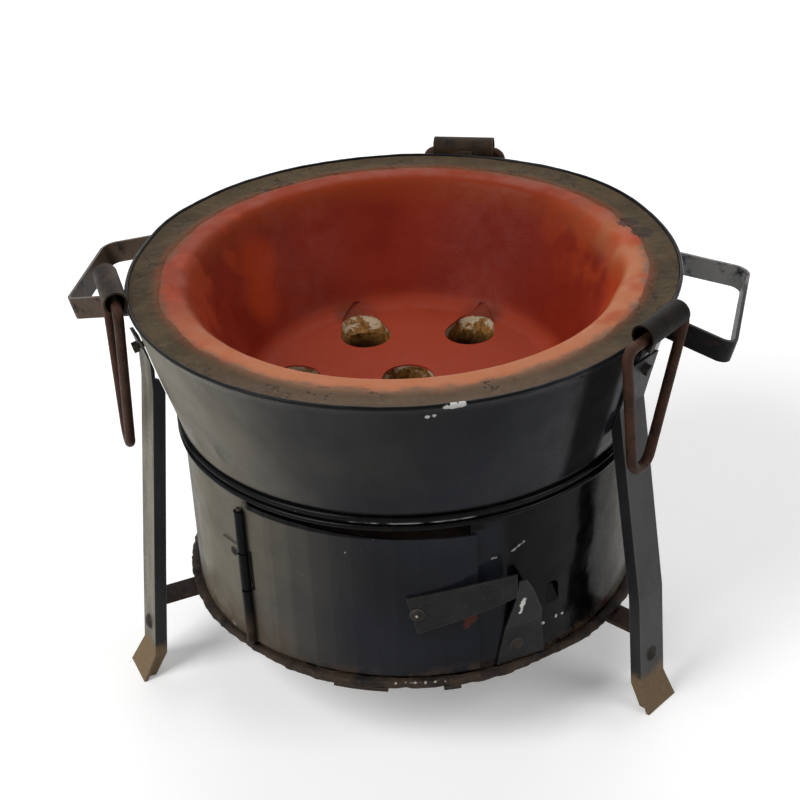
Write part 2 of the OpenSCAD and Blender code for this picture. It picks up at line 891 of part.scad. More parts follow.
// Directions and heights of the four rivets in the handles' feet
function foot_rivets() = concat(
    [for (az = left_feet) [az + foot_turn[0] / 2, foot_z(0, az)]],
    [for (az = right_feet) [az + foot_turn[1] / 2, foot_z(1, az)]]
);

// Direction from p to q
function heading(p, q) = atan2(q[1] - p[1], q[0] - p[0]);

// Where a corner of radius r at q, between p and s, touches both sides, and its centre
function corner(p, q, s, r) =
    let (
        a = heading(q, p),
        b = heading(q, s),
        half = abs((b - a + 540) % 360 - 180) / 2,
        inward = heading([0, 0], polar(1, a) + polar(1, b))
    ) [
        q + polar(r / tan(half), a),
        q + polar(r / tan(half), b),
        q + polar(r / sin(half), inward)
    ];

// Straight strip of thickness t from p to q, in plan, let into the bends at its ends
module strip(p, q, t)
    translate(p)
        rotate(heading(p, q))
            translate([-seam, -t / 2])
                square([norm(q - p) + 2 * seam, t]);

// Bent strip of radius r and thickness t round the corner c, whose apex is at q, in plan
module strip_bend(c, q, r, t)
    intersection() {
        translate(c[2])
            difference() {
                circle(r + (t + swell) / 2);
                circle(r - (t + swell) / 2);
            }
        polygon([
            c[2],
            c[2] + 1.5 * (c[0] - c[2]),
            c[2] + 3 * (q - c[2]),
            c[2] + 1.5 * (c[1] - c[2])
        ]);
    }

// Strip of thickness t along the points, with its corners bent to radius r, in plan
module bent_strip(points, r, t) {
    last = len(points) - 1;
    corners = [for (i = [1 : last - 1]) corner(points[i - 1], points[i], points[i + 1], r)];
    starts = concat([points[0]], [for (c = corners) c[1]]);
    ends = concat([for (c = corners) c[0]], [points[last]]);
    for (i = [0 : last - 1])
        strip(starts[i], ends[i], t);
    for (i = [0 : last - 2])
        strip_bend(corners[i], points[i + 1], r, t);
}

// Strap handle i with two rounded corners and a riveted tab at each foot
module handle(i, feet, out, along) {
    points = [foot_at(i, feet[0]), [out[0], along[0]], [out[1], along[1]], foot_at(i, feet[1])];
    inner = [for (k = [0, 3]) points[k] - polar(4, heading(points[k], points[k == 0 ? 1 : 2]))];
    turn = foot_turn[i];
    lie = fit + handle_t;
    rise = handle_w / 2 * cos(cone_tilt);
    color("#26282b")
        difference() {
            union() {
                rotate([0, 0, handle_az[i]])
                    translate([cone_r(handle_z), 0, handle_z])
                        rotate([0, cone_tilt, 0])
                            translate([0, 0, -handle_w / 2])
                                linear_extrude(handle_w)
                                    bent_strip(
                                        [inner[0], points[1], points[2], inner[1]],
                                        handle_bend,
                                        handle_t
                                    );
                for (az = feet)
                    sector(az + min(turn, 0), az + max(turn, 0))
                        polygon([
                            [cone_r(foot_z(i, az) - rise) - 1, foot_z(i, az) - rise],
                            [cone_r(foot_z(i, az) - rise) + lie, foot_z(i, az) - rise],
                            [cone_r(foot_z(i, az) + rise) + lie, foot_z(i, az) + rise],
                            [cone_r(foot_z(i, az) + rise) - 1, foot_z(i, az) + rise]
                        ]);
            }
            cone_space(fit);
            for (az = feet)
                on_cone(az + turn / 2, foot_z(i, az))
                    drill(handle_rivet_d, 6);
        }
}

// Handle on the left
module handle_left()
    handle(0, left_feet, left_out, left_along);

// Handle on the right
module handle_right()
    handle(1, right_feet, right_out, right_along);

// ---- ash door ------------------------------------------------------------------------

// Ring sector of the door's bent flats, between radius a and b
module door_flats_plan(a, b) {
    turn = (door_end_az - hinge_az) / door_flats;
    azimuths = [for (k = [0 : door_flats]) hinge_az + k * turn];
    polygon(concat(
        [for (az = azimuths) polar(a, az)],
        reversed([for (az = azimuths) polar(b, az)])
    ));
}

// Upright tube on the hinge axis between two heights above the drum's foot
module knuckle(span)
    rotate([0, 0, hinge_az])
        translate([hinge_r, 0, drum_z + span[0]])
            cylinder(d = knuckle_d, h = span[1] - span[0]);

// Everything within radius r of the hinge axis
module hinge_bore(r)
    rotate([0, 0, hinge_az])
        translate([hinge_r, 0, 0])
            cylinder(r = r, h = rim_z);

// Door of vertical flats with its two rolled knuckles
module ash_door()
    color("#262b31")
        difference() {
            union() {
                difference() {
                    translate([0, 0, door_z0])
                        linear_extrude(door_z1 - door_z0)
                            door_flats_plan(door_in, door_out);
                    door_top_cut();
                    hinge_notch();
                }
                knuckle([knuckle_span[0], leaf_span[0] - knuckle_gap]);
                knuckle([leaf_span[1] + knuckle_gap, knuckle_span[1]]);
            }
            hinge_bore(pin_d / 2 + pin_gap);
            on_drum(latch_az, latch_height, door_out)
                drill(latch_rivet_d, 6);
        }

// Space above the door's sloping upper edge
module door_top_cut() {
    middle_az = (hinge_az + door_end_az) / 2;
    half_chord = drum_r * sin((door_end_az - hinge_az) / 2);
    rotate([0, 0, middle_az])
        plate(0, 2 * drum_r)
            polygon([
                [-half_chord / 2, door_z1],
                [2 * half_chord, door_z1 - door_sag * 5 / 3],
                [2 * half_chord, rim_z],
                [-half_chord / 2, rim_z]
            ]);
}

// Room in the door for the fixed knuckle
module hinge_notch()
    translate([0, 0, drum_z + leaf_span[0] - knuckle_gap])
        sector(hinge_az - 2 * knuckle_turn, hinge_az + 1.6 * knuckle_turn)
            translate([drum_r, 0])
                square([knuckle_d, leaf_span[1] - leaf_span[0] + 2 * knuckle_gap]);

// Leaf riveted to the drum, with the middle knuckle
module hinge_leaf()
    color("#2a2e33")
        difference() {
            union() {
                knuckle(leaf_span);
                sector(hinge_az - leaf_turn, hinge_az - leaf_turn / 30)
                    translate([drum_r + fit, drum_z + leaf_span[0] + fit])
                        square([sheet, leaf_span[1] - leaf_span[0] - 2 * fit]);
            }
            hinge_bore(pin_d / 2 + play / 5);
            on_drum(hinge_az - leaf_turn / 2, drum_z + leaf_span[1] - leaf_rivet_drop, drum_r)
                drill(leaf_rivet_d, 6);
        }

// Pin through the three knuckles
module hinge_pin()
    color("#6b6d70")
        rotate([0, 0, hinge_az])
            translate([hinge_r, 0, drum_z + knuckle_span[0] - 1.5])
                cylinder(d = pin_d, h = knuckle_span[1] - knuckle_span[0] + 3);

// Rivet that holds the leaf to the drum
module hinge_rivet()
    color("#3a3d40")
        on_drum(hinge_az - leaf_turn / 2, drum_z + leaf_span[1] - leaf_rivet_drop, drum_r + fit + sheet)
            rivet(leaf_rivet_d, 2 * sheet + fit);

// ---- latch ---------------------------------------------------------------------------

// Outline of the latch strap about its pivot, sideways and up
module latch_outline()
    polygon([
        [-5, latch_root_w / 2 - 1],
        [0, -latch_root_w / 2 - 1.5],
        [latch_len * 0.64, latch_rise * 0.62 - latch_tip_w / 2 - 2.5],
        [latch_len, latch_rise - latch_tip_w / 2],
        [latch_len, latch_rise + latch_tip_w / 2],
        [latch_len * 0.64, latch_rise * 0.62 + latch_tip_w / 2 + 2]
    ]);

// Strap that turns on the door and reaches towards the keeper
module latch_strap()
    color("#3b3a38")
        difference() {
            intersection() {
                rotate([0, 0, latch_az])
                    translate([0, 0, latch_height])
                        plate(drum_r / 2, drum_r)
                            latch_outline();
                rotate([0, 0, latch_az])
                    translate([latch_r - latch_curve, 0, 0])
                        difference() {
                            cylinder(r = latch_curve + latch_t, h = drum_top, $fn = 360);
                            translate([0, 0, -cut])
                                cylinder(r = latch_curve, h = drum_top + 2 * cut, $fn = 360);
                        }
            }
            on_drum(latch_az, latch_height, latch_r)
                drill(latch_rivet_d, 8);
        }

// Pivot rivet of the latch, fixed in the door
module latch_rivet()
    color("#4a4844")
        on_drum(latch_az, latch_height, latch_r + latch_t + fit)
            rivet(latch_rivet_d, latch_t + sheet + latch_gap + 2 * fit);

// Side view of the keeper: flat on the drum, then bent outward
module keeper_profile() {
    low = drum_z + door_low;
    bend = drum_z + keeper_bend_z;
    top = drum_z + keeper_top_z;
    out = keeper_r + keeper_stand;
    polygon([
        [keeper_r, low],
        [keeper_r + keeper_t, low],
        [keeper_r + keeper_t, bend],
        [out, top],
        [out - keeper_t, top],
        [keeper_r, bend]
    ]);
}

// Front view of the keeper about its rivet's direction, with the folded tongue on its right
module keeper_outline() {
    low = drum_z;
    top = drum_z + keeper_top_z;
    polygon([
        [-12.5, low],
        [-1.8, top - 13],
        [-1.2, top],
        [3, top],
        [7.5, top - 8],
        [14.5, top - 26],
        [16.5, low]
    ]);
}

// Keeper plate that stands off the drum at its tip
module keeper_strap()
    color("#393a3b")
        rotate([0, 0, keeper_az])
            difference() {
                intersection() {
                    slab(60)
                        keeper_profile();
                    plate(drum_r / 2, drum_r)
                        keeper_outline();
                }
                translate([keeper_r, 0, drum_z + keeper_rivet_z])
                    rotate([0, 90, 0])
                        drill(keeper_rivet_d, 6);
            }

// Rivet of the keeper
module keeper_rivet()
    color("#4b4a48")
        on_drum(keeper_az, drum_z + keeper_rivet_z, keeper_r + keeper_t)
            rivet(keeper_rivet_d, keeper_t + sheet + fit);

// ---- bolts and rivets ----------------------------------------------------------------

// How far the turned face of leg i lifts one side of its bolt's head
function leg_bolt_tip(i) = leg_bolt_d * bolt_corners / 2 * abs(sin(leg_turn[i]));

// Bolts that hold the legs to the cone
module leg_bolts()
    color("#45484b")
        for (i = SIDES)
            on_cone(leg_az[i], rim_z - leg_bolt_drop)
                translate([0, 0, fit + leg_t + leg_bolt_tip(i)])
                    bolt(leg_bolt_d, leg_bolt_reach);

// Nuts of the leg bolts and the tail bolts, inside the cone
module leg_nuts()
    color("#45484b")
        for (i = SIDES) {
            on_cone(leg_az[i], rim_z - leg_bolt_drop)
                nut(leg_bolt_d);
            on_cone(rest_az[i], rim_z - tail_bolt_drop)
                nut(tail_bolt_d);
        }

// Hexagon nut under the cone's sheet
module nut(d)
    translate([0, 0, -sheet - fit - d * bolt_head_h])
        difference() {
            cylinder(d = d * bolt_corners, h = d * bolt_head_h, $fn = 6);
            drill(d, 2 * d);
        }

// Bolts that hold the tubes' tails to the cone
module tail_bolts()
    color("#45484b")
        for (i = SIDES)
            on_cone(rest_az[i], rim_z - tail_bolt_drop)
                translate([0, 0, fit + tube_wall])
                    bolt(tail_bolt_d, tail_bolt_reach);

// Rivets through the legs and the struts' bent ends
module strut_rivets()
    color("#4d4743")
        for (i = SIDES)
            on_leg(i, strut_rivet_z)
                rivet(strut_rivet_d, leg_t + strut_t + fit);

// Rivets through the base plate and the struts
module base_rivets()
    color("#4d4743")
        for (i = SIDES)
            at_leg(i)
                translate([drum_r - strut_lap / 2, 0, base_z + sheet])
                    rivet(base_rivet_d, sheet + strut_t + fit);

// Rivets in the handles' feet
module handle_rivets()
    color("#3a3c3e")
        for (spot = foot_rivets())
            on_cone(spot[0], spot[1])
                translate([0, 0, fit + handle_t])
                    rivet(handle_rivet_d, handle_t + sheet + fit);

// Puts the brazier, which is drawn round its axis, in its place
module placed()
    translate([axis_x, axis_y, 0])
        children();

placed() lower_shell();
placed() base_plate();
placed() base_tabs();
placed() upper_shell();
placed() seat_ring();
placed() clay_liner();
placed() rim_cement();
placed() ash_insulation();
placed() leg(BACK);  // leg_back
placed() leg(LEFT);  // leg_left
placed() leg(RIGHT);  // leg_right
placed() strut(BACK);  // strut_back
placed() strut(LEFT);  // strut_left
placed() strut(RIGHT);  // strut_right
placed() rest_tube(BACK);  // rest_tube_back
placed() rest_tube(LEFT);  // rest_tube_left
placed() rest_tube(RIGHT);  // rest_tube_right
placed() pot_rest(BACK);  // pot_rest_back
placed() pot_rest(LEFT);  // pot_rest_left
placed() pot_rest(RIGHT);  // pot_rest_right
placed() handle_left();
placed() handle_right();
placed() ash_door();
placed() hinge_leaf();
placed() hinge_pin();
placed() hinge_rivet();
placed() latch_strap();
placed() latch_rivet();
placed() keeper_strap();
placed() keeper_rivet();
placed() leg_bolts();
placed() leg_nuts();
placed() tail_bolts();
placed() strut_rivets();
placed() base_rivets();
placed() handle_rivets();
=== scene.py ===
import json
import math
import bpy
import bmesh
import numpy as np
from mathutils import Matrix, Vector, noise


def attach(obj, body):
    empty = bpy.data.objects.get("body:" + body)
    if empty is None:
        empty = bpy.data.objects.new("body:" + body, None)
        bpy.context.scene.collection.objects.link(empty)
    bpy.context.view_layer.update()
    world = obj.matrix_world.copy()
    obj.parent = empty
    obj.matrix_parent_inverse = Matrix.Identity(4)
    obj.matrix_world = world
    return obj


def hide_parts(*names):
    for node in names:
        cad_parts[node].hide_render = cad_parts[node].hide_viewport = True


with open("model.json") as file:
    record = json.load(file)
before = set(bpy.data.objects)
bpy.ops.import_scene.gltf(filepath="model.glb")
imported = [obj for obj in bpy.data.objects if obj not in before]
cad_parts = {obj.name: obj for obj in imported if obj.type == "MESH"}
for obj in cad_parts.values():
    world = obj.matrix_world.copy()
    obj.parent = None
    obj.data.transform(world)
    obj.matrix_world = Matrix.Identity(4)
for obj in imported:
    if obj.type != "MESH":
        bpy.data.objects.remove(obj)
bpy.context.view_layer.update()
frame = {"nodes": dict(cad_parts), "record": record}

# The frame and Blender are in metres. Shapes and materials are written in mm round the drum's axis:
# x to the right, y to the back, z up. Azimuths are in degrees: 0 right, 90 back, 180 left, 270 front.

NODES = frame["nodes"]
AXIS = Vector((-0.0022, -0.0079, 0.0))  # the drum's axis in the frame
MM = 0.001

# The draught holes round the middle one: (distance from the axis, azimuth, how far the scoop leans aside)
HOLES = [(58.5, 51, 11.0), (53, 116, -9.0), (63, 178, -4.0), (59, 236, 0.0), (59, 291, 0.0), (59, 343, 3.0)]


def polar(r, az, z=0.0):
    a = math.radians(az)
    return (r * math.cos(a), r * math.sin(a), z)


# ---- material helpers ----------------------------------------------------------------

class Tree:
    """Short calls that build a material's nodes on object coordinates, in mm round the drum's axis."""

    def __init__(self, name):
        self.mat = bpy.data.materials.new(name)
        self.mat.use_nodes = True
        self.t = self.mat.node_tree
        self.bsdf = self.t.nodes["Principled BSDF"]
        place = self.node("Mapping", {"Vector": self.node("TexCoord").outputs["Object"],
                                      "Location": tuple(-v / MM for v in AXIS),
                                      "Scale": (1 / MM, 1 / MM, 1 / MM)})
        self.co = place.outputs["Vector"]
        self._split = None

    def put(self, socket, v):
        """Link a socket, or set a colour, a vector or a number."""
        if isinstance(v, bpy.types.NodeSocket):
            self.t.links.new(v, socket)
        elif socket.type == "RGBA":
            socket.default_value = (*v, 1.0)
        else:
            socket.default_value = v

    def node(self, kind, inputs=None, **props):
        n = self.t.nodes.new("ShaderNode" + kind)
        for key, v in props.items():
            setattr(n, key, v)
        for key, v in (inputs or {}).items():
            self.put(n.inputs[key], v)
        return n

    def noise(self, size, detail=3, rough=0.55, stretch=None, seed=0.0):
        """Noise from 0 to 1 with features about `size` mm across."""
        at = self.co
        if stretch:
            at = self.node("Mapping", {"Vector": at, "Scale": stretch}).outputs["Vector"]
        return self.node("TexNoise", {"Vector": at, "W": seed, "Scale": 1.0 / size, "Detail": detail,
                                      "Roughness": rough}, noise_dimensions="4D").outputs["Fac"]

    def math(self, op, a, b=0.0, clamp=False):
        return self.node("Math", {0: a, 1: b}, operation=op, use_clamp=clamp).outputs[0]

    def fold(self, op, parts, clamp=False):
        total = parts[0]
        for v in parts[1:]:
            total = self.math(op, total, v, clamp)
        return total

    def mul(self, *parts):
        return self.fold("MULTIPLY", parts)

    def most(self, *parts):
        return self.fold("MAXIMUM", parts)

    def add(self, *parts, clamp=False):
        return self.fold("ADD", parts, clamp)

    def sub(self, a, b):
        return self.math("SUBTRACT", a, b)

    def step(self, v, lo, hi, out_lo=0.0, out_hi=1.0):
        """Smooth step of v, out_lo at lo and out_hi at hi."""
        return self.node("MapRange", {"Value": v, "From Min": lo, "From Max": hi, "To Min": out_lo,
                                      "To Max": out_hi}, interpolation_type="SMOOTHSTEP").outputs["Result"]

    def band(self, v, lo, hi, soft):
        """1 while v is between lo and hi, fading over `soft` on each side."""
        return self.mul(self.step(v, lo - soft, lo), self.step(v, hi + soft, hi))

    def mix(self, fac, a, b):
        return self.node("Mix", {0: fac, 6: a, 7: b}, data_type="RGBA").outputs[2]

    def over(self, col, paint, mask, weight):
        """`col` with `weight` of `paint` over it where the mask is 1."""
        return self.mix(self.mul(mask, weight), col, paint)

    def split(self):
        """(x, y, z, radius, azimuth from 0 to 360)"""
        if self._split is None:
            x, y, z = self.node("SeparateXYZ", {0: self.co}).outputs
            r = self.math("SQRT", self.add(self.mul(x, x), self.mul(y, y)))
            az = self.mul(self.math("ARCTAN2", y, x), 180 / math.pi)
            az = self.math("MODULO", self.add(az, 360.0), 360.0)
            self._split = (x, y, z, r, az)
        return self._split

    def distance(self, at):
        return self.node("VectorMath", {0: self.co, 1: at}, operation="DISTANCE").outputs["Value"]

    def spot(self, at, radius, soft):
        """1 round the point `at`, fading to 0 across its radius."""
        return self.step(self.distance(at), radius * (1 + soft), radius * (1 - soft))

    def flecks(self, places, ragged, seed=50.0):
        """1 within each (x, y, z, radius) of `places`, with a torn edge."""
        edge = 0.25
        torn = self.mul(self.sub(self.noise(1.8, 3, 0.6, seed=seed), 0.5), 2 * ragged)
        return self.most(*[self.step(self.add(self.distance((x, y, z)), torn), radius + edge, radius - edge)
                           for x, y, z, radius in places])

    def bump(self, height, strength, distance, normal=None):
        """The normal of a relief `distance` metres high, on top of an earlier normal."""
        under = {} if normal is None else {"Normal": normal}
        return self.node("Bump", {"Strength": strength, "Distance": distance, "Height": height,
                                  **under}).outputs["Normal"]

    def own_normal(self):
        return self.node("NewGeometry").outputs["Normal"]

    def worn(self, radius):
        """1 near convex edges: the surface's own normal against a rounded one."""
        rounded = self.node("Bevel", {"Radius": radius}, samples=4).outputs["Normal"]
        alike = self.node("VectorMath", {0: rounded, 1: self.own_normal()}, operation="DOT_PRODUCT")
        return self.step(alike.outputs["Value"], 0.995, 0.85)

    def outward(self):
        """How far the surface faces away from the drum's axis, 1 straight outward."""
        x, y, _, r, _ = self.split()
        normal = self.node("SeparateXYZ", {0: self.own_normal()}).outputs
        along = self.add(self.mul(normal[0], x), self.mul(normal[1], y))
        return self.math("DIVIDE", along, self.most(r, 1.0))

    def finish(self, color, rough, normal, specular, metal=0.0):
        for key, v in (("Base Color", color), ("Roughness", rough), ("Normal", normal), ("Metallic", metal),
                       ("Specular IOR Level", specular)):
            self.put(self.bsdf.inputs[key], v)
        return self.mat


# ---- materials -----------------------------------------------------------------------

def enamel_dust_and_sheen(t, broad, right):
    """Khaki dust mixed with painted sheen from the light at the left: thick at the left, thin at the left front,
    faint clouds behind, and a painted highlight at the right.
    """
    _, _, z, _, az = t.split()
    cloud = t.noise(22, 3, 0.5, seed=14)
    wander = t.add(az, t.mul(t.sub(broad, 0.5), 26.0))
    side = t.step(wander, 120.0, 178.0)
    behind = t.most(t.step(az, 338.0, 352.0), t.step(az, 160.0, 120.0))
    thick = t.mul(t.step(wander, 264.0, 200.0), t.step(cloud, 0.25, 0.6, 0.72, 1.0), side)
    faint = t.mul(t.step(cloud, 0.50, 0.72, 0.0, 0.16), behind)
    thin = t.mul(t.step(wander, 288.0, 236.0), t.step(z, 160.0, 190.0, 0.2, 1.0), side,
                 t.step(cloud, 0.30, 0.70, 0.45, 0.8), 0.27)
    # painted highlight: a pale band low on the drum at the right
    sheen_right = t.mul(right, t.step(z, 152.0, 143.0, 0.0, 0.42))
    return t.most(thick, faint, thin, sheen_right)


def enamel_black_and_shade(t, crease):
    """Where the paint stays black and clean: the beads, the hinge's knuckles and the rolled rim, and painted
    shade and dark reflection in the keeper's bay, over the door, at the drum's foot, beside the leg and in the
    fold.
    """
    _, _, z, r, az = t.split()
    # painted shade: black in the keeper's bay, over the door and at the drum's foot
    keeper_bay = t.mul(t.band(az, 293.0, 317.0, 4.0), t.step(z, 152.0, 146.0))
    beads = t.band(z, 146.0, 157.0, 1.5)
    over_door = t.mul(t.band(az, 228.0, 285.0, 2.0), t.band(z, 142.0, 150.0, 1.0))
    knuckles = t.mul(t.band(az, 220.5, 229.0, 0.6), t.step(r, 128.1, 128.8), t.step(z, 147.0, 146.0))
    drum_foot = t.mul(t.step(z, 54.0, 52.8), t.step(az, 232.0, 240.0))
    rolled_rim = t.mul(t.step(z, 229.0, 230.2), 0.93)
    # painted shade and dark reflection: black beside the leg and in the fold
    beside_leg = t.mul(t.band(az, 305.0, 316.0, 3.0), t.step(z, 172.0, 182.0))
    folded = t.mul(crease, t.step(z, 229.0, 210.0, 0.4, 1.0))
    return t.most(keeper_bay, beads, over_door, knuckles, drum_foot, rolled_rim, beside_leg, folded)


def enamel_chips_and_glint(t):
    """Bare metal and white chips, scattered, along the left seam and as single marks, and a painted glint along
    the bead.
    """
    _, _, z, _, az = t.split()
    scattered = t.mul(t.step(t.noise(2.2, 3, 0.6, seed=1.7), 0.735, 0.76),
                      t.step(t.noise(30, 2, seed=6), 0.5, 0.62))
    # painted highlight: a pale streak along the bead
    glint = t.mul(t.band(z, 151.3, 152.2, 0.5), t.band(az, 256.0, 282.0, 3.0),
                  t.step(t.noise(9, 2, 0.5, seed=71), 0.40, 0.60), 0.8)
    seam = t.mul(t.band(az, 198.0, 217.0, 3.0), t.step(z, 59.0, 55.0),
                 t.step(t.noise(3.2, 3, 0.7, seed=73), 0.60, 0.64))
    at_rim = [(24.5, -146.7, 230.6, 2.2), (20.6, -147.1, 230.3, 2.4), (17.2, -147.6, 230.0, 1.6),
              (8.0, -146.5, 224.5, 1.3), (11.5, -146.3, 224.8, 1.0)]
    by_keeper = [(65.4, -107.7, 69.6, 0.9), (72.8, -102.9, 70.1, 0.8), (76.2, -100.3, 70.0, 0.8),
                 (58.4, -112.0, 61.9, 1.0)]
    marks = t.flecks(at_rim + by_keeper, 1.2)
    scratches = [(49.0 + 0.9 * k, -116.4 + 0.45 * k, 123.6 + 0.5 * k, 0.45 + 0.25 * (k % 3 == 1))
                 for k in range(8)]
    scratches += [(38.4 + 1.1 * k, -120.0 + 0.4 * k, 122.2, 0.5) for k in range(3)]
    return t.most(scattered, glint, seam, marks, t.mul(t.flecks(scratches, 0.7, 77.0), 0.6))


def enamel_relief(t, right):
    """Shallow dents, two knocks at the left, the door's flat facets, and orange peel at the right."""
    _, _, z, _, az = t.split()
    dents = t.add(t.noise(45, 2, 0.5, seed=5), t.mul(t.noise(11, 2, 0.5, seed=9), 0.16))
    n = t.bump(dents, 0.5, 0.004)
    knocks = t.most(t.spot((-104.5, -79.5, 167.0), 7.0, 0.8), t.spot((-95.0, -91.0, 174.0), 4.5, 0.8))
    n = t.bump(knocks, 1.0, -0.0012, n)
    facet_width = 5.2
    facet = t.sub(t.math("FRACT", t.math("DIVIDE", az, facet_width)), 0.5)
    on_door = t.mul(t.band(az, 232.0, 283.0, 3.0), t.step(z, 150.0, 144.0))
    n = t.bump(t.mul(t.mul(facet, facet), on_door), 1.0, 0.0011, n)
    peel = t.mul(t.noise(1.6, 3, 0.6, seed=63), t.add(0.25, t.mul(right, 1.3)))
    return t.bump(peel, 0.15, 0.0004, n)


def make_enamel():
    """Gloss black-blue paint, dusty, chipped and scuffed, with mud at its foot, and with painted sheen,
    highlights and shade in its colour.
    """
    t = Tree("enamel")
    _, _, z, _, az = t.split()
    broad = t.noise(60, 2, seed=3.1)
    right = t.band(az, 325.0, 336.0, 9.0)
    crease = t.mul(t.band(az, 307.5, 315.5, 3.0), t.step(z, 156.0, 160.0))
    dust_and_sheen = enamel_dust_and_sheen(t, broad, right)
    black = enamel_black_and_shade(t, crease)
    col = t.mix(t.step(broad, 0.3, 0.7), (0.0080, 0.0088, 0.0120), (0.0170, 0.0180, 0.0240))
    # black paint and painted shade
    col = t.mix(black, col, (0.0015, 0.0015, 0.002))
    # khaki dust mixed with painted sheen at the left and a painted highlight at the right
    col = t.mix(t.mul(dust_and_sheen, t.sub(1.0, black)), col, (0.165, 0.150, 0.112))
    speckle = t.mul(t.step(t.noise(1.4, 2, 0.6, seed=61), 0.55, 0.62), right)
    col = t.over(col, (0.20, 0.20, 0.20), speckle, 0.2)
    streak = t.step(t.noise(9, 4, 0.7, stretch=(1, 1, 0.25), seed=8), 0.5, 0.8)
    col = t.over(col, (0.16, 0.155, 0.14), streak, 0.03)
    # chips, and the painted glint on the bead
    col = t.mix(enamel_chips_and_glint(t), col, (0.55, 0.54, 0.52))
    rust = t.flecks([(26.5, -124.6, 88.5, 3.6), (24.6, -125.0, 84.5, 2.2), (103.0, -74.0, 56.0, 3.5)], 3.0, 81.0)
    col = t.over(col, (0.085, 0.022, 0.012), rust, 0.8)
    mud = t.most(t.mul(t.step(z, 62.0, 50.0), t.step(t.noise(9, 4, 0.65, seed=2), 0.40, 0.60)),
                 t.mul(t.band(az, 200.0, 232.0, 10.0), t.step(z, 82.0, 52.0),
                       t.step(t.noise(13, 4, 0.6, seed=12), 0.36, 0.60, 0.3, 1.0)))
    col = t.over(col, (0.075, 0.048, 0.030), mud, 0.8)
    rough = t.add(t.step(t.noise(14, 4, 0.6, seed=4), 0.3, 0.75, 0.12, 0.26), t.mul(dust_and_sheen, 0.25))
    rough = t.add(rough, t.mul(mud, 0.3), t.mul(crease, 0.6), clamp=True)
    return t.finish(col, rough, enamel_relief(t, right), specular=0.07)


# Painted reflections: orange patches where the glossy clay wall and lip mirror the light
SHEEN_PLACES = [((112.5, -3.5, 221.0), 11.0), ((107.5, -14.4, 213.0), 9.0), ((121.4, 22.3, 230.0), 9.0),
                 ((-83.0, 63.9, 205.3), 13.0), ((-81.5, 50.3, 187.8), 12.0)]
# Painted shade in the scoops over the draught holes
SCOOP_SHADE = (0.060, 0.014, 0.005)


def clay_hole_wall(t, straw):
    """The broken clay inside the draught holes: straw-coloured, with pale fibres, and darker below as painted
    shade deep in the hole.
    """
    z = t.split()[2]
    col = t.mix(t.step(straw, 0.36, 0.60), (0.105, 0.040, 0.006), (0.24, 0.115, 0.030))
    fibre = t.add(t.noise(6, 3, 0.6, seed=23), t.step(z, 154.0, 162.0, -0.08, 0.06))
    col = t.mix(t.step(fibre, 0.52, 0.60), col, (0.42, 0.33, 0.22))
    # painted shade: darker deep in the hole
    return t.mix(t.step(z, 156.0, 148.5), col, (0.060, 0.022, 0.007))


def make_clay():
    """Fired clay, deep red inside, paler on the lip and the floor, brown where the cement was wiped, with painted
    reflections on the wall and painted shade in the scoops and holes.
    """
    t = Tree("clay")
    x, y, z, r, _ = t.split()
    broad = t.noise(35, 3, 0.5, seed=2)
    grain = t.noise(1.6, 4, 0.7, seed=7)
    col = t.mix(t.step(broad, 0.3, 0.7), (0.150, 0.0105, 0.0032), (0.190, 0.0165, 0.0055))
    col = t.over(col, (0.255, 0.033, 0.012), t.step(z, 174.0, 163.5), 0.85)
    front = t.step(t.sub(t.mul(x, 0.45), y), -50.0, 70.0)
    lip = t.step(t.add(z, t.mul(broad, 6.0)), 216.0, 230.0)
    col = t.mix(lip, col, t.mix(front, (0.200, 0.024, 0.004), (0.385, 0.130, 0.056)))
    smear = t.step(t.add(r, t.mul(t.noise(14, 4, 0.65, seed=5), 14.0)), 133.0, 140.0)
    smear = t.mul(smear, t.step(z, 219.0, 226.0))
    col = t.mix(smear, col, t.mix(front, (0.095, 0.042, 0.018), (0.105, 0.068, 0.042)))
    # painted reflection: bright orange patches at the left and right of the wall
    glow = t.mul(t.step(t.noise(22, 2, 0.5, seed=11), 0.48, 0.62), t.step(z, 186.0, 214.0),
                 t.step(t.math("ABSOLUTE", x), 70.0, 100.0))
    col = t.over(col, (0.31, 0.040, 0.009), glow, 0.6)
    dirt = t.mul(t.step(t.noise(7, 5, 0.7, seed=4), 0.60, 0.80), t.step(z, 172.0, 200.0, 0.2, 1.0))
    col = t.over(col, (0.07, 0.018, 0.010), dirt, 0.12)
    col = t.over(col, (0.30, 0.06, 0.03), t.step(grain, 0.55, 0.8), 0.10)
    # painted reflections at the places above
    for at, radius in SHEEN_PLACES:
        col = t.over(col, (0.36, 0.040, 0.006), t.spot(at, radius, 0.6), 0.6)
    # painted shade: dark spots in the scoops over the holes
    for out, turn, _ in HOLES:
        col = t.over(col, SCOOP_SHADE, t.spot(polar(76.5 + 0.05 * out, turn, 165.5), 6.0, 0.8), 0.6)
    for at in ((-27.8, 75.5, 161.0), (44.2, 67.1, 161.0)):
        col = t.over(col, SCOOP_SHADE, t.spot(at, 9.0, 0.8), 0.55)
    soot = t.flecks([(126.0, 41.1, 230.3, 6.0), (130.9, 27.8, 230.3, 5.0)], 4.0, 25.0)
    col = t.over(col, (0.022, 0.012, 0.008), soot, 0.85)
    straw = t.noise(2.4, 4, 0.7, stretch=(1, 1, 0.5), seed=21)
    hole = t.step(t.add(z, t.mul(straw, 1.2)), 162.9, 162.1)
    col = t.mix(hole, col, clay_hole_wall(t, straw))
    n = t.bump(t.noise(14, 3, 0.55, seed=8), 0.28, 0.002)
    n = t.bump(t.add(grain, t.mul(t.noise(0.7, 2, 0.6), 0.5)), 0.30, 0.0005, n)
    n = t.bump(t.mul(straw, hole), 0.9, 0.0022, n)
    rough = t.step(t.noise(12, 3, 0.6, seed=3), 0.3, 0.7, 0.40, 0.62)
    return t.finish(col, rough, n, specular=0.10)


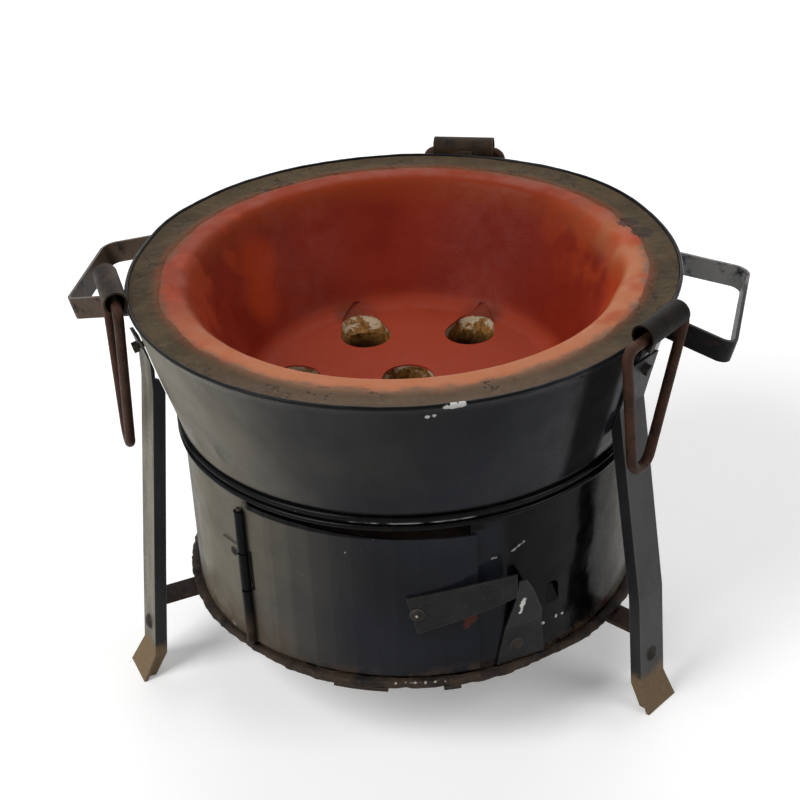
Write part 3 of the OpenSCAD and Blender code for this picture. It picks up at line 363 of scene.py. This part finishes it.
def make_cement(name="cement"):
    """Khaki-grey cement, trowelled by hand, cracked and sooty in places."""
    t = Tree(name)
    _, y, _, r, _ = t.split()
    broad = t.noise(28, 4, 0.6, seed=1)
    fine = t.noise(3.0, 5, 0.7, seed=5)
    col = t.mix(t.step(broad, 0.3, 0.7), (0.034, 0.023, 0.011), (0.064, 0.043, 0.022))
    col = t.over(col, (0.145, 0.108, 0.068), t.step(fine, 0.55, 0.8), 0.40)
    col = t.over(col, (0.026, 0.020, 0.015), t.step(t.noise(9, 4, 0.7, seed=9), 0.56, 0.70), 0.6)
    front = t.step(y, -80.0, -135.0)
    col = t.over(col, (0.125, 0.080, 0.055), front, 0.45)
    warm = t.step(t.add(r, t.mul(broad, 9.0)), 141.5, 133.0)
    col = t.over(col, t.mix(front, (0.15, 0.045, 0.020), (0.26, 0.12, 0.065)), warm, 0.85)
    soot = t.flecks([(126.0, 41.1, 230.5, 6.0), (130.9, 27.8, 230.5, 7.0)], 4.0, 25.0)
    col = t.over(col, (0.020, 0.013, 0.010), soot, 0.75)
    streaks = t.noise(5, 3, 0.6, stretch=(0.35, 1, 1), seed=31)
    col = t.over(col, (0.15, 0.115, 0.075), t.step(streaks, 0.6, 0.75), 0.3)
    crack = t.step(t.math("ABSOLUTE", t.sub(t.noise(26, 4, 0.6, seed=37), 0.5)), 0.012, 0.004)
    crack = t.mul(crack, t.step(t.noise(40, 2, seed=39), 0.45, 0.6))
    col = t.over(col, (0.016, 0.012, 0.009), crack, 0.75)
    n = t.bump(broad, 0.6, 0.002)
    n = t.bump(t.sub(fine, t.mul(crack, 0.6)), 0.7, 0.0009, n)
    return t.finish(col, t.step(fine, 0.3, 0.7, 0.62, 0.85), n, specular=0.12)


def make_rust(name, dark, brown, grey, rough=0.45, scale=1.0, metal=0.0, specular=0.12, flecks=None, right=1.0):
    """Bare or thinly painted steel with brown rust, rubbed brighter on its edges.

    `right` is how much of its colour the steel keeps at the right of the object, where it is darkened as painted
    shade.
    """
    t = Tree(name)
    big = t.noise(11 * scale, 4, 0.65, seed=2)
    fine = t.noise(1.7 * scale, 5, 0.7, seed=6)
    col = t.mix(t.step(big, 0.35, 0.62), dark, brown)
    col = t.over(col, grey, t.step(fine, 0.52, 0.75), 0.55)
    col = t.over(col, tuple(1.6 * c for c in grey), t.worn(0.0008), 0.45)
    # painted shade: darker towards the right, away from the light
    if right < 1.0:
        col = t.mix(t.step(t.split()[0], 60.0, 110.0, 0.0, 1.0 - right), col, (0.003, 0.003, 0.003))
    if flecks:
        col = t.mix(t.flecks(flecks, 1.0), col, (0.42, 0.39, 0.34))
    return t.finish(col, t.step(fine, 0.3, 0.7, rough, rough + 0.25), t.bump(fine, 0.4, 0.0005), specular, metal)


def make_leg():
    """Dark grey paint, outer faces lighter than the flanges and the left leg's face paler, partly dust and partly
    painted light from the left, brown mud at the toe.
    """
    t = Tree("leg_paint")
    x, _, z, _, _ = t.split()
    big = t.noise(24, 4, 0.6, stretch=(1, 1, 0.4), seed=2)
    fine = t.noise(2.0, 4, 0.7, seed=6)
    # painted light: outer faces lighter than the flanges, which stay dark as if in shade
    face = t.step(t.outward(), 0.45, 0.9)
    col = t.mix(t.step(big, 0.35, 0.7), (0.009, 0.009, 0.011), (0.020, 0.020, 0.022))
    col = t.mix(face, col, t.mix(t.step(big, 0.3, 0.7), (0.026, 0.026, 0.028), (0.052, 0.048, 0.048)))
    # the left leg's face: pale dust with painted light from the left
    dust_and_light = t.mul(t.step(x, -120.0, -135.0), t.mul(face, 0.9))
    drawn = t.step(t.noise(7, 3, 0.6, stretch=(1, 1, 0.12), seed=15), 0.35, 0.65)
    col = t.mix(dust_and_light, col, t.mix(drawn, (0.065, 0.058, 0.040), (0.150, 0.132, 0.084)))
    col = t.over(col, (0.15, 0.14, 0.125), t.step(fine, 0.55, 0.78), 0.22)
    mud = t.step(t.add(z, t.mul(t.noise(8, 4, 0.7, seed=4), 16.0)), 33.0, 24.0)
    col = t.mix(mud, col, t.mix(fine, (0.095, 0.060, 0.032), (0.29, 0.205, 0.12)))
    col = t.over(col, (0.20, 0.19, 0.17), t.worn(0.001), 0.35)
    rough = t.add(t.step(fine, 0.3, 0.7, 0.33, 0.5), t.mul(mud, 0.35), clamp=True)
    n = t.bump(t.add(big, t.mul(fine, 0.25)), 0.3, 0.001)
    n = t.bump(t.mul(t.noise(3, 4, 0.7, seed=44), mud), 0.8, 0.002, n)
    return t.finish(col, rough, n, specular=0.16)


def make_strap():
    """Black strip, worn to grey metal in patches, with rust round them."""
    t = Tree("black_strap")
    x, y, _, _, _ = t.split()
    big = t.noise(13, 4, 0.65, seed=12)
    fine = t.noise(1.5, 5, 0.7, seed=3)
    worn = t.step(t.add(big, t.mul(fine, 0.2)), 0.42, 0.58)
    right = t.mul(t.step(x, 130.0, 142.0), t.step(y, 4.0, 22.0))
    left = t.mul(t.step(x, -120.0, -140.0), t.step(y, -10.0, 20.0))
    worn = t.mul(worn, t.add(right, t.mul(left, 0.35)))
    col = t.mix(t.step(big, 0.3, 0.7), (0.0035, 0.0035, 0.004), (0.010, 0.0095, 0.0095))
    col = t.mix(worn, col, t.mix(t.step(x, -20.0, 20.0), (0.20, 0.135, 0.095), (0.24, 0.235, 0.23)))
    flake = t.mul(t.step(fine, 0.60, 0.68), t.mul(worn, 0.7))
    col = t.mix(flake, col, (0.42, 0.41, 0.40))
    rust = t.mul(t.step(t.noise(4, 4, 0.7, seed=8), 0.52, 0.68), 0.75, t.step(x, -100.0, -130.0, 0.25, 1.0))
    col = t.mix(rust, col, (0.105, 0.052, 0.030))
    col = t.over(col, (0.11, 0.09, 0.075), t.worn(0.0008), 0.3)
    return t.finish(col, t.step(fine, 0.3, 0.7, 0.32, 0.55), t.bump(fine, 0.3, 0.0004), specular=0.10)


def make_olive():
    """Dull dark paint of the latch and the keeper, with white chips and a streak."""
    t = Tree("olive_paint")
    fine = t.noise(1.2, 5, 0.7, seed=3)
    big = t.noise(9, 4, 0.6, seed=5)
    col = t.mix(t.step(big, 0.35, 0.7), (0.005, 0.005, 0.006), (0.013, 0.0125, 0.0135))
    col = t.mix(t.mul(t.step(fine, 0.66, 0.72), t.step(big, 0.5, 0.62)), col, (0.42, 0.40, 0.37))
    col = t.over(col, (0.060, 0.045, 0.035), t.step(fine, 0.50, 0.70), 0.35)
    streak = [(52.8 + 0.25 * k, -118.2 + 0.08 * k, 85.5 + 2.0 * k, 2.0 if 2 < k < 7 else 1.0) for k in range(9)]
    chips = [(58.4, -115.5, 62.0, 1.5), (-4.9, -130.0, 90.6, 1.3), (0.6, -130.0, 96.2, 0.9)]
    col = t.mix(t.flecks(streak + chips, 1.0), col, (0.72, 0.70, 0.66))
    col = t.over(col, (0.13, 0.125, 0.105), t.worn(0.0006), 0.4)
    return t.finish(col, t.step(fine, 0.3, 0.7, 0.3, 0.5), t.bump(fine, 0.25, 0.0003), specular=0.14)


BASE_FLECKS = [(-14.0 + 1.3 * k, -130.6, 52.2, 0.25 + 0.5 * (k % 4 == 0)) for k in range(28)]
LATCH_RIVET_FLECKS = [(-4.2, -131.5, 93.6, 1.2), (-1.4, -131.5, 96.0, 0.7), (-5.2, -131.0, 90.6, 0.8)]

MATERIALS = {
    "enamel": make_enamel(),
    "clay": make_clay(),
    "cement": make_cement(),
    "ash_fill": make_cement("ash_fill"),
    "leg_paint": make_leg(),
    "black_strap": make_strap(),
    "olive_paint": make_olive(),
    "brown_steel": make_rust("brown_steel", (0.010, 0.009, 0.009), (0.040, 0.026, 0.018), (0.12, 0.10, 0.085),
                             0.55, flecks=BASE_FLECKS),
    "sheet_steel": make_rust("sheet_steel", (0.008, 0.007, 0.006), (0.014, 0.011, 0.009), (0.04, 0.035, 0.03),
                             0.5),
    "wire": make_rust("wire", (0.03, 0.025, 0.02), (0.06, 0.04, 0.03), (0.17, 0.15, 0.135), 0.4, metal=0.5),
    "rusty_steel": make_rust("rusty_steel", (0.014, 0.009, 0.007), (0.040, 0.022, 0.013), (0.085, 0.060, 0.045),
                             0.5),
    # the tubes are given painted shade at the right
    "tube_steel": make_rust("tube_steel", (0.008, 0.006, 0.005), (0.032, 0.020, 0.012), (0.075, 0.052, 0.036),
                            0.38, specular=0.06, right=0.25),
    "rusty_rod": make_rust("rusty_rod", (0.020, 0.0085, 0.0045), (0.050, 0.020, 0.011), (0.095, 0.052, 0.036),
                           0.42),
    "fastener": make_rust("fastener", (0.011, 0.010, 0.009), (0.030, 0.023, 0.018), (0.10, 0.085, 0.072), 0.35,
                          scale=0.5, flecks=LATCH_RIVET_FLECKS),
}

slots = {s["node"]: s["material_slot"] for s in frame["record"]["subparts"]}
for name, obj in NODES.items():
    obj.data.materials.clear()
    obj.data.materials.append(MATERIALS[slots[name]])


# ---- pieces shaped one by one, in place of the plain turned ones -------------------------

def unit(v):
    return min(1.0, max(0.0, v))


def window(v, lo, hi):
    """A smooth hump from lo to hi, 1 in its middle."""
    return math.sin(math.pi * (v - lo) / (hi - lo)) ** 2 if lo < v < hi else 0.0


def wave(size, r, az, z, seed):
    """Smooth noise from -1 to 1 with features about `size` mm across."""
    x, y, _ = polar(r, az)
    return noise.noise(Vector((x / size + seed, y / size, z / size)))


def to_frame(x, y, z):
    """A point in mm round the axis, in the frame's metres."""
    return (x * MM + AXIS.x, y * MM + AXIS.y, z * MM)


def smooth(me, sharp):
    """Smooth shading, with edges over `sharp` degrees left sharp."""
    me.polygons.foreach_set("use_smooth", [True] * len(me.polygons))
    me.set_sharp_from_angle(angle=math.radians(sharp))


def new_object(name, data):
    o = bpy.data.objects.new(name, data)
    bpy.context.collection.objects.link(o)
    return o


def turned(name, node, profile, steps, shape):
    """A ring swept from (r, z) points in mm, each moved by shape(r, z, azimuth)."""
    bm = bmesh.new()
    rings = [[bm.verts.new(to_frame(*polar(*shape(r, z, 360.0 * k / steps)))) for r, z in profile]
             for k in range(steps)]
    n = len(profile)
    for k in range(steps):
        a, b = rings[k], rings[(k + 1) % steps]
        for i in range(n):
            j = (i + 1) % n
            bm.faces.new((a[i], b[i], b[j], a[j]))
    bmesh.ops.recalc_face_normals(bm, faces=bm.faces)
    me = bpy.data.meshes.new(name)
    bm.to_mesh(me)
    bm.free()
    smooth(me, 50)
    piece = new_object(name, me)
    me.materials.append(MATERIALS[slots[node]])
    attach(piece, "stove")
    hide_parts(node)
    return piece


# The cone: a flared sheet under a rolled lip, over a double bead

CONE_FOOT_R, CONE_FLARE, CONE_FOOT_Z, CONE_STEPS, CONE_RISE = 127.3, 19.6, 156.0, 24, 3.0
SHEET = 1.0
SEAM_Z = 147.0  # where the cone's sheet ends, over the drum
LIP_Z = 229.6   # under the rolled lip
BEAD_OUT, BEAD_HALF = 1.9, 1.7


def out_of_round(az):
    """How far the rim stands out of its circle: between the tubes it has been pushed outward."""
    return 2.2 * window(az, 12.0, 68.0) + 2.2 * window(az, 98.0, 167.0) + 1.4 * window(az, 138.0, 166.0)


def shell_shape(r, z, az):
    """The rim pushed out of round, shallow dents, one fold at the right front, a wavy lip."""
    rise = unit((z - 175.0) / 53.0)
    fold = 1.6 * window(az, 304.0, 318.0) * window(z, 150.0, 196.0)
    dent = (0.3 + 0.3 * wave(38, r, az, z, 2.0) + fold) * math.sin(math.pi * unit((z - 156.0) / 70.0))
    lip = 0.25 * wave(9, r, az, z, 5.0) if z > 229.0 else 0.0
    return r + out_of_round(az) * rise ** 2 + dent, az, z + lip


def bead(z):
    return [(CONE_FOOT_R + BEAD_OUT * math.sin(a), z - BEAD_HALF * math.cos(a))
            for a in [math.pi * k / 8 for k in range(9)]]


CONE = [(CONE_FOOT_R + CONE_FLARE * k / CONE_STEPS, CONE_FOOT_Z + CONE_RISE * k) for k in range(CONE_STEPS + 1)]
LIP = [(147.7 + math.cos(math.radians(a)), 231.0 + math.sin(math.radians(a))) for a in range(-20, 181, 25)]
turned("cone_dented", "upper_shell",
       [(CONE_FOOT_R, SEAM_Z)] + bead(148.9) + bead(153.9) + CONE + [(148.0, LIP_Z)] + LIP + [(146.6, LIP_Z)] +
       [(r - SHEET, z) for r, z in reversed(CONE)] + [(126.3, SEAM_Z)], 540, shell_shape)


# The cement: lapped unevenly over the clay's lip and lumpy on top

CEMENT_TOP = [(129.2, 229.6), (130.2, 230.3), (131.2, 230.75), (132.4, 230.85), (133.6, 230.7), (135.0, 230.5),
              (136.5, 230.35), (138.0, 230.3), (139.5, 230.35), (141.0, 230.45), (142.5, 230.6), (144.0, 230.8),
              (145.4, 230.95), (146.5, 230.95)]
CEMENT_UNDER = [(146.3, 229.0), (144.4, 222.0), (133.4, 222.0), (131.5, 229.0)]


def cement_shape(r, z, az):
    out = out_of_round(az) * unit((r - 133.0) / 13.0)
    edge = 1.0 - unit((r - 129.0) / 7.0)
    wander = edge * (2.2 * wave(17, 132, az, 0, 7.0) + 0.4 * wave(4, 132, az, 0, 9.0))
    lump = 0.0
    if z > 229.0:
        lump = 0.55 * wave(15, r, az, 0, 11.0) + 0.3 * wave(4, r, az, 0, 13.0)
        lump *= 1.0 if r < 145.0 else 0.3
    return r + out + wander, az, z + lump


turned("cement_trowelled", "rim_cement", CEMENT_TOP + CEMENT_UNDER, 720, cement_shape)


# The bowl: floor, fillet, leaning wall and rounded lip, pierced by torn holes with scoops

FLOOR_Z, FILLET, SLOPE = 163.0, 12.7, math.radians(63)
HOLE_R, HOLE_SIDES = 14.4, 72
CUT_Z = (140, 144, 147, 149, 151, 153, 155, 157, 158.5, 160, 161, 162, 163, 163.5, 164, 165, 166, 167, 167.8)
SCOOP_Z = [157.0, 163.0, 164.0, 165.0, 166.0, 167.0, 167.8]
SCOOP_R = [HOLE_R, 11.0, 8.8, 6.5, 4.5, 2.6, 1.4]
SCOOP_REACH = [81.0, 83.0, 84.5, 85.6, 86.3, 86.6]  # from the second height up; at the first, the hole's own edge


def liner_shape(r, z, az):
    """A hand-made wall with two worn hollows at the right, and a slightly uneven floor."""
    if z > FLOOR_Z + 2.0 and r < 131.0:
        r += 0.5 * wave(45, r, az, z, 23.0) + 0.15 * wave(9, r, az, z, 25.0)
        r += 3.6 * window(az % 360 if az > 180 else az + 360, 344.0, 365.0) * window(z, 196.0, 240.0)
        r += 2.6 * window(az, 4.0, 17.0) * window(z, 212.0, 244.0)
    elif r < 100.0 and z > 155.0:
        z += 0.25 * wave(22, r, az, z, 27.0)
    return r, az, z


def hole_cutter(bm, out, az, lean, scoop):
    """One upright, torn hole; an outer one also runs up the foot of the wall in a narrowing, leaning scoop."""
    turn, seed = math.radians(az), az * 0.37
    rings = []
    for z in CUT_Z:
        r2 = np.interp(z, SCOOP_Z, SCOOP_R)
        ahead = np.interp(z, SCOOP_Z, [out + HOLE_R] + SCOOP_REACH) - out - r2
        aside = lean * ahead / 30.0
        torn = unit((163.5 - z) / 3.0)
        ring = []
        for i in range(HOLE_SIDES):
            a = 2 * math.pi * i / HOLE_SIDES
            c, s = math.cos(a), math.sin(a)
            far = scoop and ahead * c + aside * s + r2 > HOLE_R
            x, y = (ahead + r2 * c, aside + r2 * s) if far else (HOLE_R * c, HOLE_R * s)
            tear = torn * (0.8 * noise.noise(Vector((x / 5, y / 5, z / 4 + seed))) +
                           0.6 * noise.noise(Vector((x / 1.8, y / 1.8, z / 3 + seed))))
            x, y = x + tear * c + out, y + tear * s
            ring.append(bm.verts.new(to_frame(x * math.cos(turn) - y * math.sin(turn),
                                              x * math.sin(turn) + y * math.cos(turn), z)))
        rings.append(ring)
    for a, b in zip(rings, rings[1:]):
        for i in range(HOLE_SIDES):
            j = (i + 1) % HOLE_SIDES
            bm.faces.new((a[i], a[j], b[j], b[i]))
    bm.faces.new(rings[0][::-1])
    bm.faces.new(rings[-1])


def pierce(piece):
    """Cut the draught holes through the bowl's floor."""
    bm = bmesh.new()
    for out, az, lean in HOLES:
        hole_cutter(bm, out, az, lean, True)
    hole_cutter(bm, 3.0, 270, 0.0, False)
    bmesh.ops.recalc_face_normals(bm, faces=bm.faces)
    me = bpy.data.meshes.new("cutters")
    bm.to_mesh(me)
    bm.free()
    cutter = new_object("cutters", me)
    mod = piece.modifiers.new("holes", "BOOLEAN")
    mod.operation, mod.solver, mod.object = "DIFFERENCE", "EXACT", cutter
    bpy.context.view_layer.update()
    cut = bpy.data.meshes.new_from_object(piece.evaluated_get(bpy.context.evaluated_depsgraph_get()))
    piece.modifiers.clear()
    piece.data = cut
    bpy.data.objects.remove(cutter)
    smooth(cut, 40)


def bezier(a, b, c, n):
    return [tuple((1 - t) ** 2 * a[i] + 2 * t * (1 - t) * b[i] + t * t * c[i] for i in (0, 1))
            for t in [k / n for k in range(n + 1)]]


BOWL_OUTSIDE = [(6.0, 146.2), (104.0, 146.2), (132.6, 221.5), (132.7, 229.0), (131.8, 230.2), (129.5, 230.5),
                (125.5, 230.55)]
BOWL_LIP = bezier((121.4, 230.5), (117.35, 230.5), (114.6, 225.1), 8)
BOWL_WALL = [(86.9 + 27.7 * k / 18, 170.1 + 55.0 * k / 18) for k in range(18)]
BOWL_FOOT = [(75.6 + FILLET * math.sin(SLOPE * k / 8), FLOOR_Z + FILLET * (1 - math.cos(SLOPE * k / 8)))
             for k in range(8)]
BOWL_FLOOR = [(66.0 - 12.0 * k, FLOOR_Z) for k in range(6)]
bowl = turned("bowl_scooped", "clay_liner",
              BOWL_OUTSIDE + BOWL_LIP + BOWL_WALL[::-1] + BOWL_FOOT[::-1] + BOWL_FLOOR, 400, liner_shape)
pierce(bowl)


# The base plate: its edge folded up by hand round the drum's foot

HEM = [(0.4, 49.0), (60.0, 49.0), (129.4, 49.2), (129.6, 50.7), (126.7, 51.2), (126.8, 52.0), (128.6, 52.3),
       (130.4, 52.0), (131.2, 51.0), (131.3, 49.6), (130.9, 48.4), (129.6, 48.0), (60.0, 48.0), (0.4, 48.0)]


def hem_shape(r, z, az):
    if r < 120.0:
        return r, az, z
    pull = 0.9 * wave(6, r, az, 0, 15.0) + 0.5 * wave(2.5, r, az, z, 17.0)
    pull += 1.0 * window(az, 236.0, 260.0) - 1.4 * window(az, 205.0, 238.0) - 2.4 * window(az, 288.0, 314.0)
    high = 0.6 * wave(7, 130, az, 0, 19.0) if z > 50.0 else 0.3 * wave(12, 130, az, 0, 21.0)
    return r + pull * (1.0 if r > 128.0 else 0.3), az, z + high


turned("hem_ragged", "base_plate", HEM, 720, hem_shape)


# ---- floor, lights, camera (in metres) -------------------------------------------------

def seen_rays(t, unseen, seen):
    """`seen` for what the camera, a mirror or glass looks at directly, else `unseen`."""
    lp = t.nodes.new("ShaderNodeLightPath")
    last = lp.outputs["Is Camera Ray"]
    for name in ("Is Glossy Ray", "Is Transmission Ray"):
        m = t.nodes.new("ShaderNodeMath")
        m.operation = "MAXIMUM"
        t.links.new(last, m.inputs[0])
        t.links.new(lp.outputs[name], m.inputs[1])
        last = m.outputs[0]
    mr = t.nodes.new("ShaderNodeMapRange")
    t.links.new(last, mr.inputs["Value"])
    mr.inputs["To Min"].default_value = unseen
    mr.inputs["To Max"].default_value = seen
    return mr.outputs["Result"]


def floor_glow(t):
    """The floor's paleness where it is seen: little near the object, so its shadow shows, white far off."""
    co = t.nodes.new("ShaderNodeTexCoord")
    away = t.nodes.new("ShaderNodeVectorMath")
    away.operation = "LENGTH"
    t.links.new(co.outputs["Object"], away.inputs[0])
    fade = t.nodes.new("ShaderNodeMapRange")
    fade.interpolation_type = "SMOOTHSTEP"
    for key, v in (("From Min", 0.5), ("From Max", 1.9), ("To Min", 0.26), ("To Max", 0.97)):
        fade.inputs[key].default_value = v
    t.links.new(away.outputs["Value"], fade.inputs["Value"])
    glow = t.nodes.new("ShaderNodeMath")
    glow.operation = "MULTIPLY"
    t.links.new(fade.outputs["Result"], glow.inputs[0])
    t.links.new(seen_rays(t, 0.0, 1.0), glow.inputs[1])
    return glow.outputs[0]


def make_floor():
    """A plain pale floor that sweeps up into a wall behind."""
    half, back, sweep, top, steps = 4.0, 1.6, 0.8, 2.6, 16
    curve = [math.pi / 2 * k / steps for k in range(steps + 1)]
    pts = [(-half, 0.0)] + [(back + sweep * math.sin(a), sweep - sweep * math.cos(a)) for a in curve]
    pts.append((back + sweep, top))
    me = bpy.data.meshes.new("floor")
    me.from_pydata([(x, y, z) for y, z in pts for x in (-half, half)], [],
                   [(2 * k, 2 * k + 1, 2 * k + 3, 2 * k + 2) for k in range(len(pts) - 1)])
    me.polygons.foreach_set("use_smooth", [True] * len(me.polygons))
    m = bpy.data.materials.new("floor_white")
    m.use_nodes = True
    b = m.node_tree.nodes["Principled BSDF"]
    b.inputs["Base Color"].default_value = (0.92, 0.92, 0.92, 1)
    b.inputs["Roughness"].default_value = 0.9
    b.inputs["Specular IOR Level"].default_value = 0.1
    b.inputs["Emission Color"].default_value = (1, 1, 1, 1)
    m.node_tree.links.new(floor_glow(m.node_tree), b.inputs["Emission Strength"])
    me.materials.append(m)
    o = new_object("floor", me)


def make_world():
    w = bpy.data.worlds.new("studio")
    bpy.context.scene.world = w
    w.use_nodes = True
    t = w.node_tree
    t.nodes["Background"].inputs["Color"].default_value = (1, 1, 1, 1)
    t.links.new(seen_rays(t, 0.03, 1.0), t.nodes["Background"].inputs["Strength"])


def area(name, at, to, size, watts):
    d = bpy.data.lights.new(name, "AREA")
    d.shape = "RECTANGLE"
    d.size, d.size_y = size
    d.energy = watts
    o = new_object(name, d)
    o.location = at
    o.rotation_mode = "QUATERNION"
    o.rotation_quaternion = (Vector(to) - Vector(at)).to_track_quat("-Z", "Y")


def make_camera():
    """The camera fitted to the photograph: a lens of 80.76 mm, looking down at 31 degrees."""
    cam = bpy.data.cameras.new("camera")
    cam.sensor_width, cam.lens = 36.0, 80.76
    pitch, yaw, roll = math.radians(30.98), math.radians(-0.34), math.radians(-2.86)
    fwd = Vector((math.sin(yaw) * math.cos(pitch), math.cos(yaw) * math.cos(pitch), -math.sin(pitch)))
    level = Vector((math.cos(yaw), -math.sin(yaw), 0))
    upright = level.cross(fwd)
    right = math.cos(roll) * level + math.sin(roll) * upright
    up = -math.sin(roll) * level + math.cos(roll) * upright
    o = new_object("camera", cam)
    o.matrix_world = Matrix.Translation(AXIS + Vector((0, -0.8617, 0.6643))) @ Matrix((
        (right.x, up.x, -fwd.x, 0), (right.y, up.y, -fwd.y, 0), (right.z, up.z, -fwd.z, 0), (0, 0, 0, 1)))
    bpy.context.scene.camera = o


make_floor()
make_world()
area("key_left", (-1.5, -0.9, 1.7), (0, 0, 0.12), (1.3, 1.3), 42)
area("fill_right", (1.7, -0.8, 1.3), (0, 0, 0.12), (1.0, 1.2), 14)
area("top_back", (0.2, 1.0, 2.0), (0, 0, 0.2), (1.6, 1.0), 20)
make_camera()
bpy.context.scene.view_settings.view_transform = "Standard"
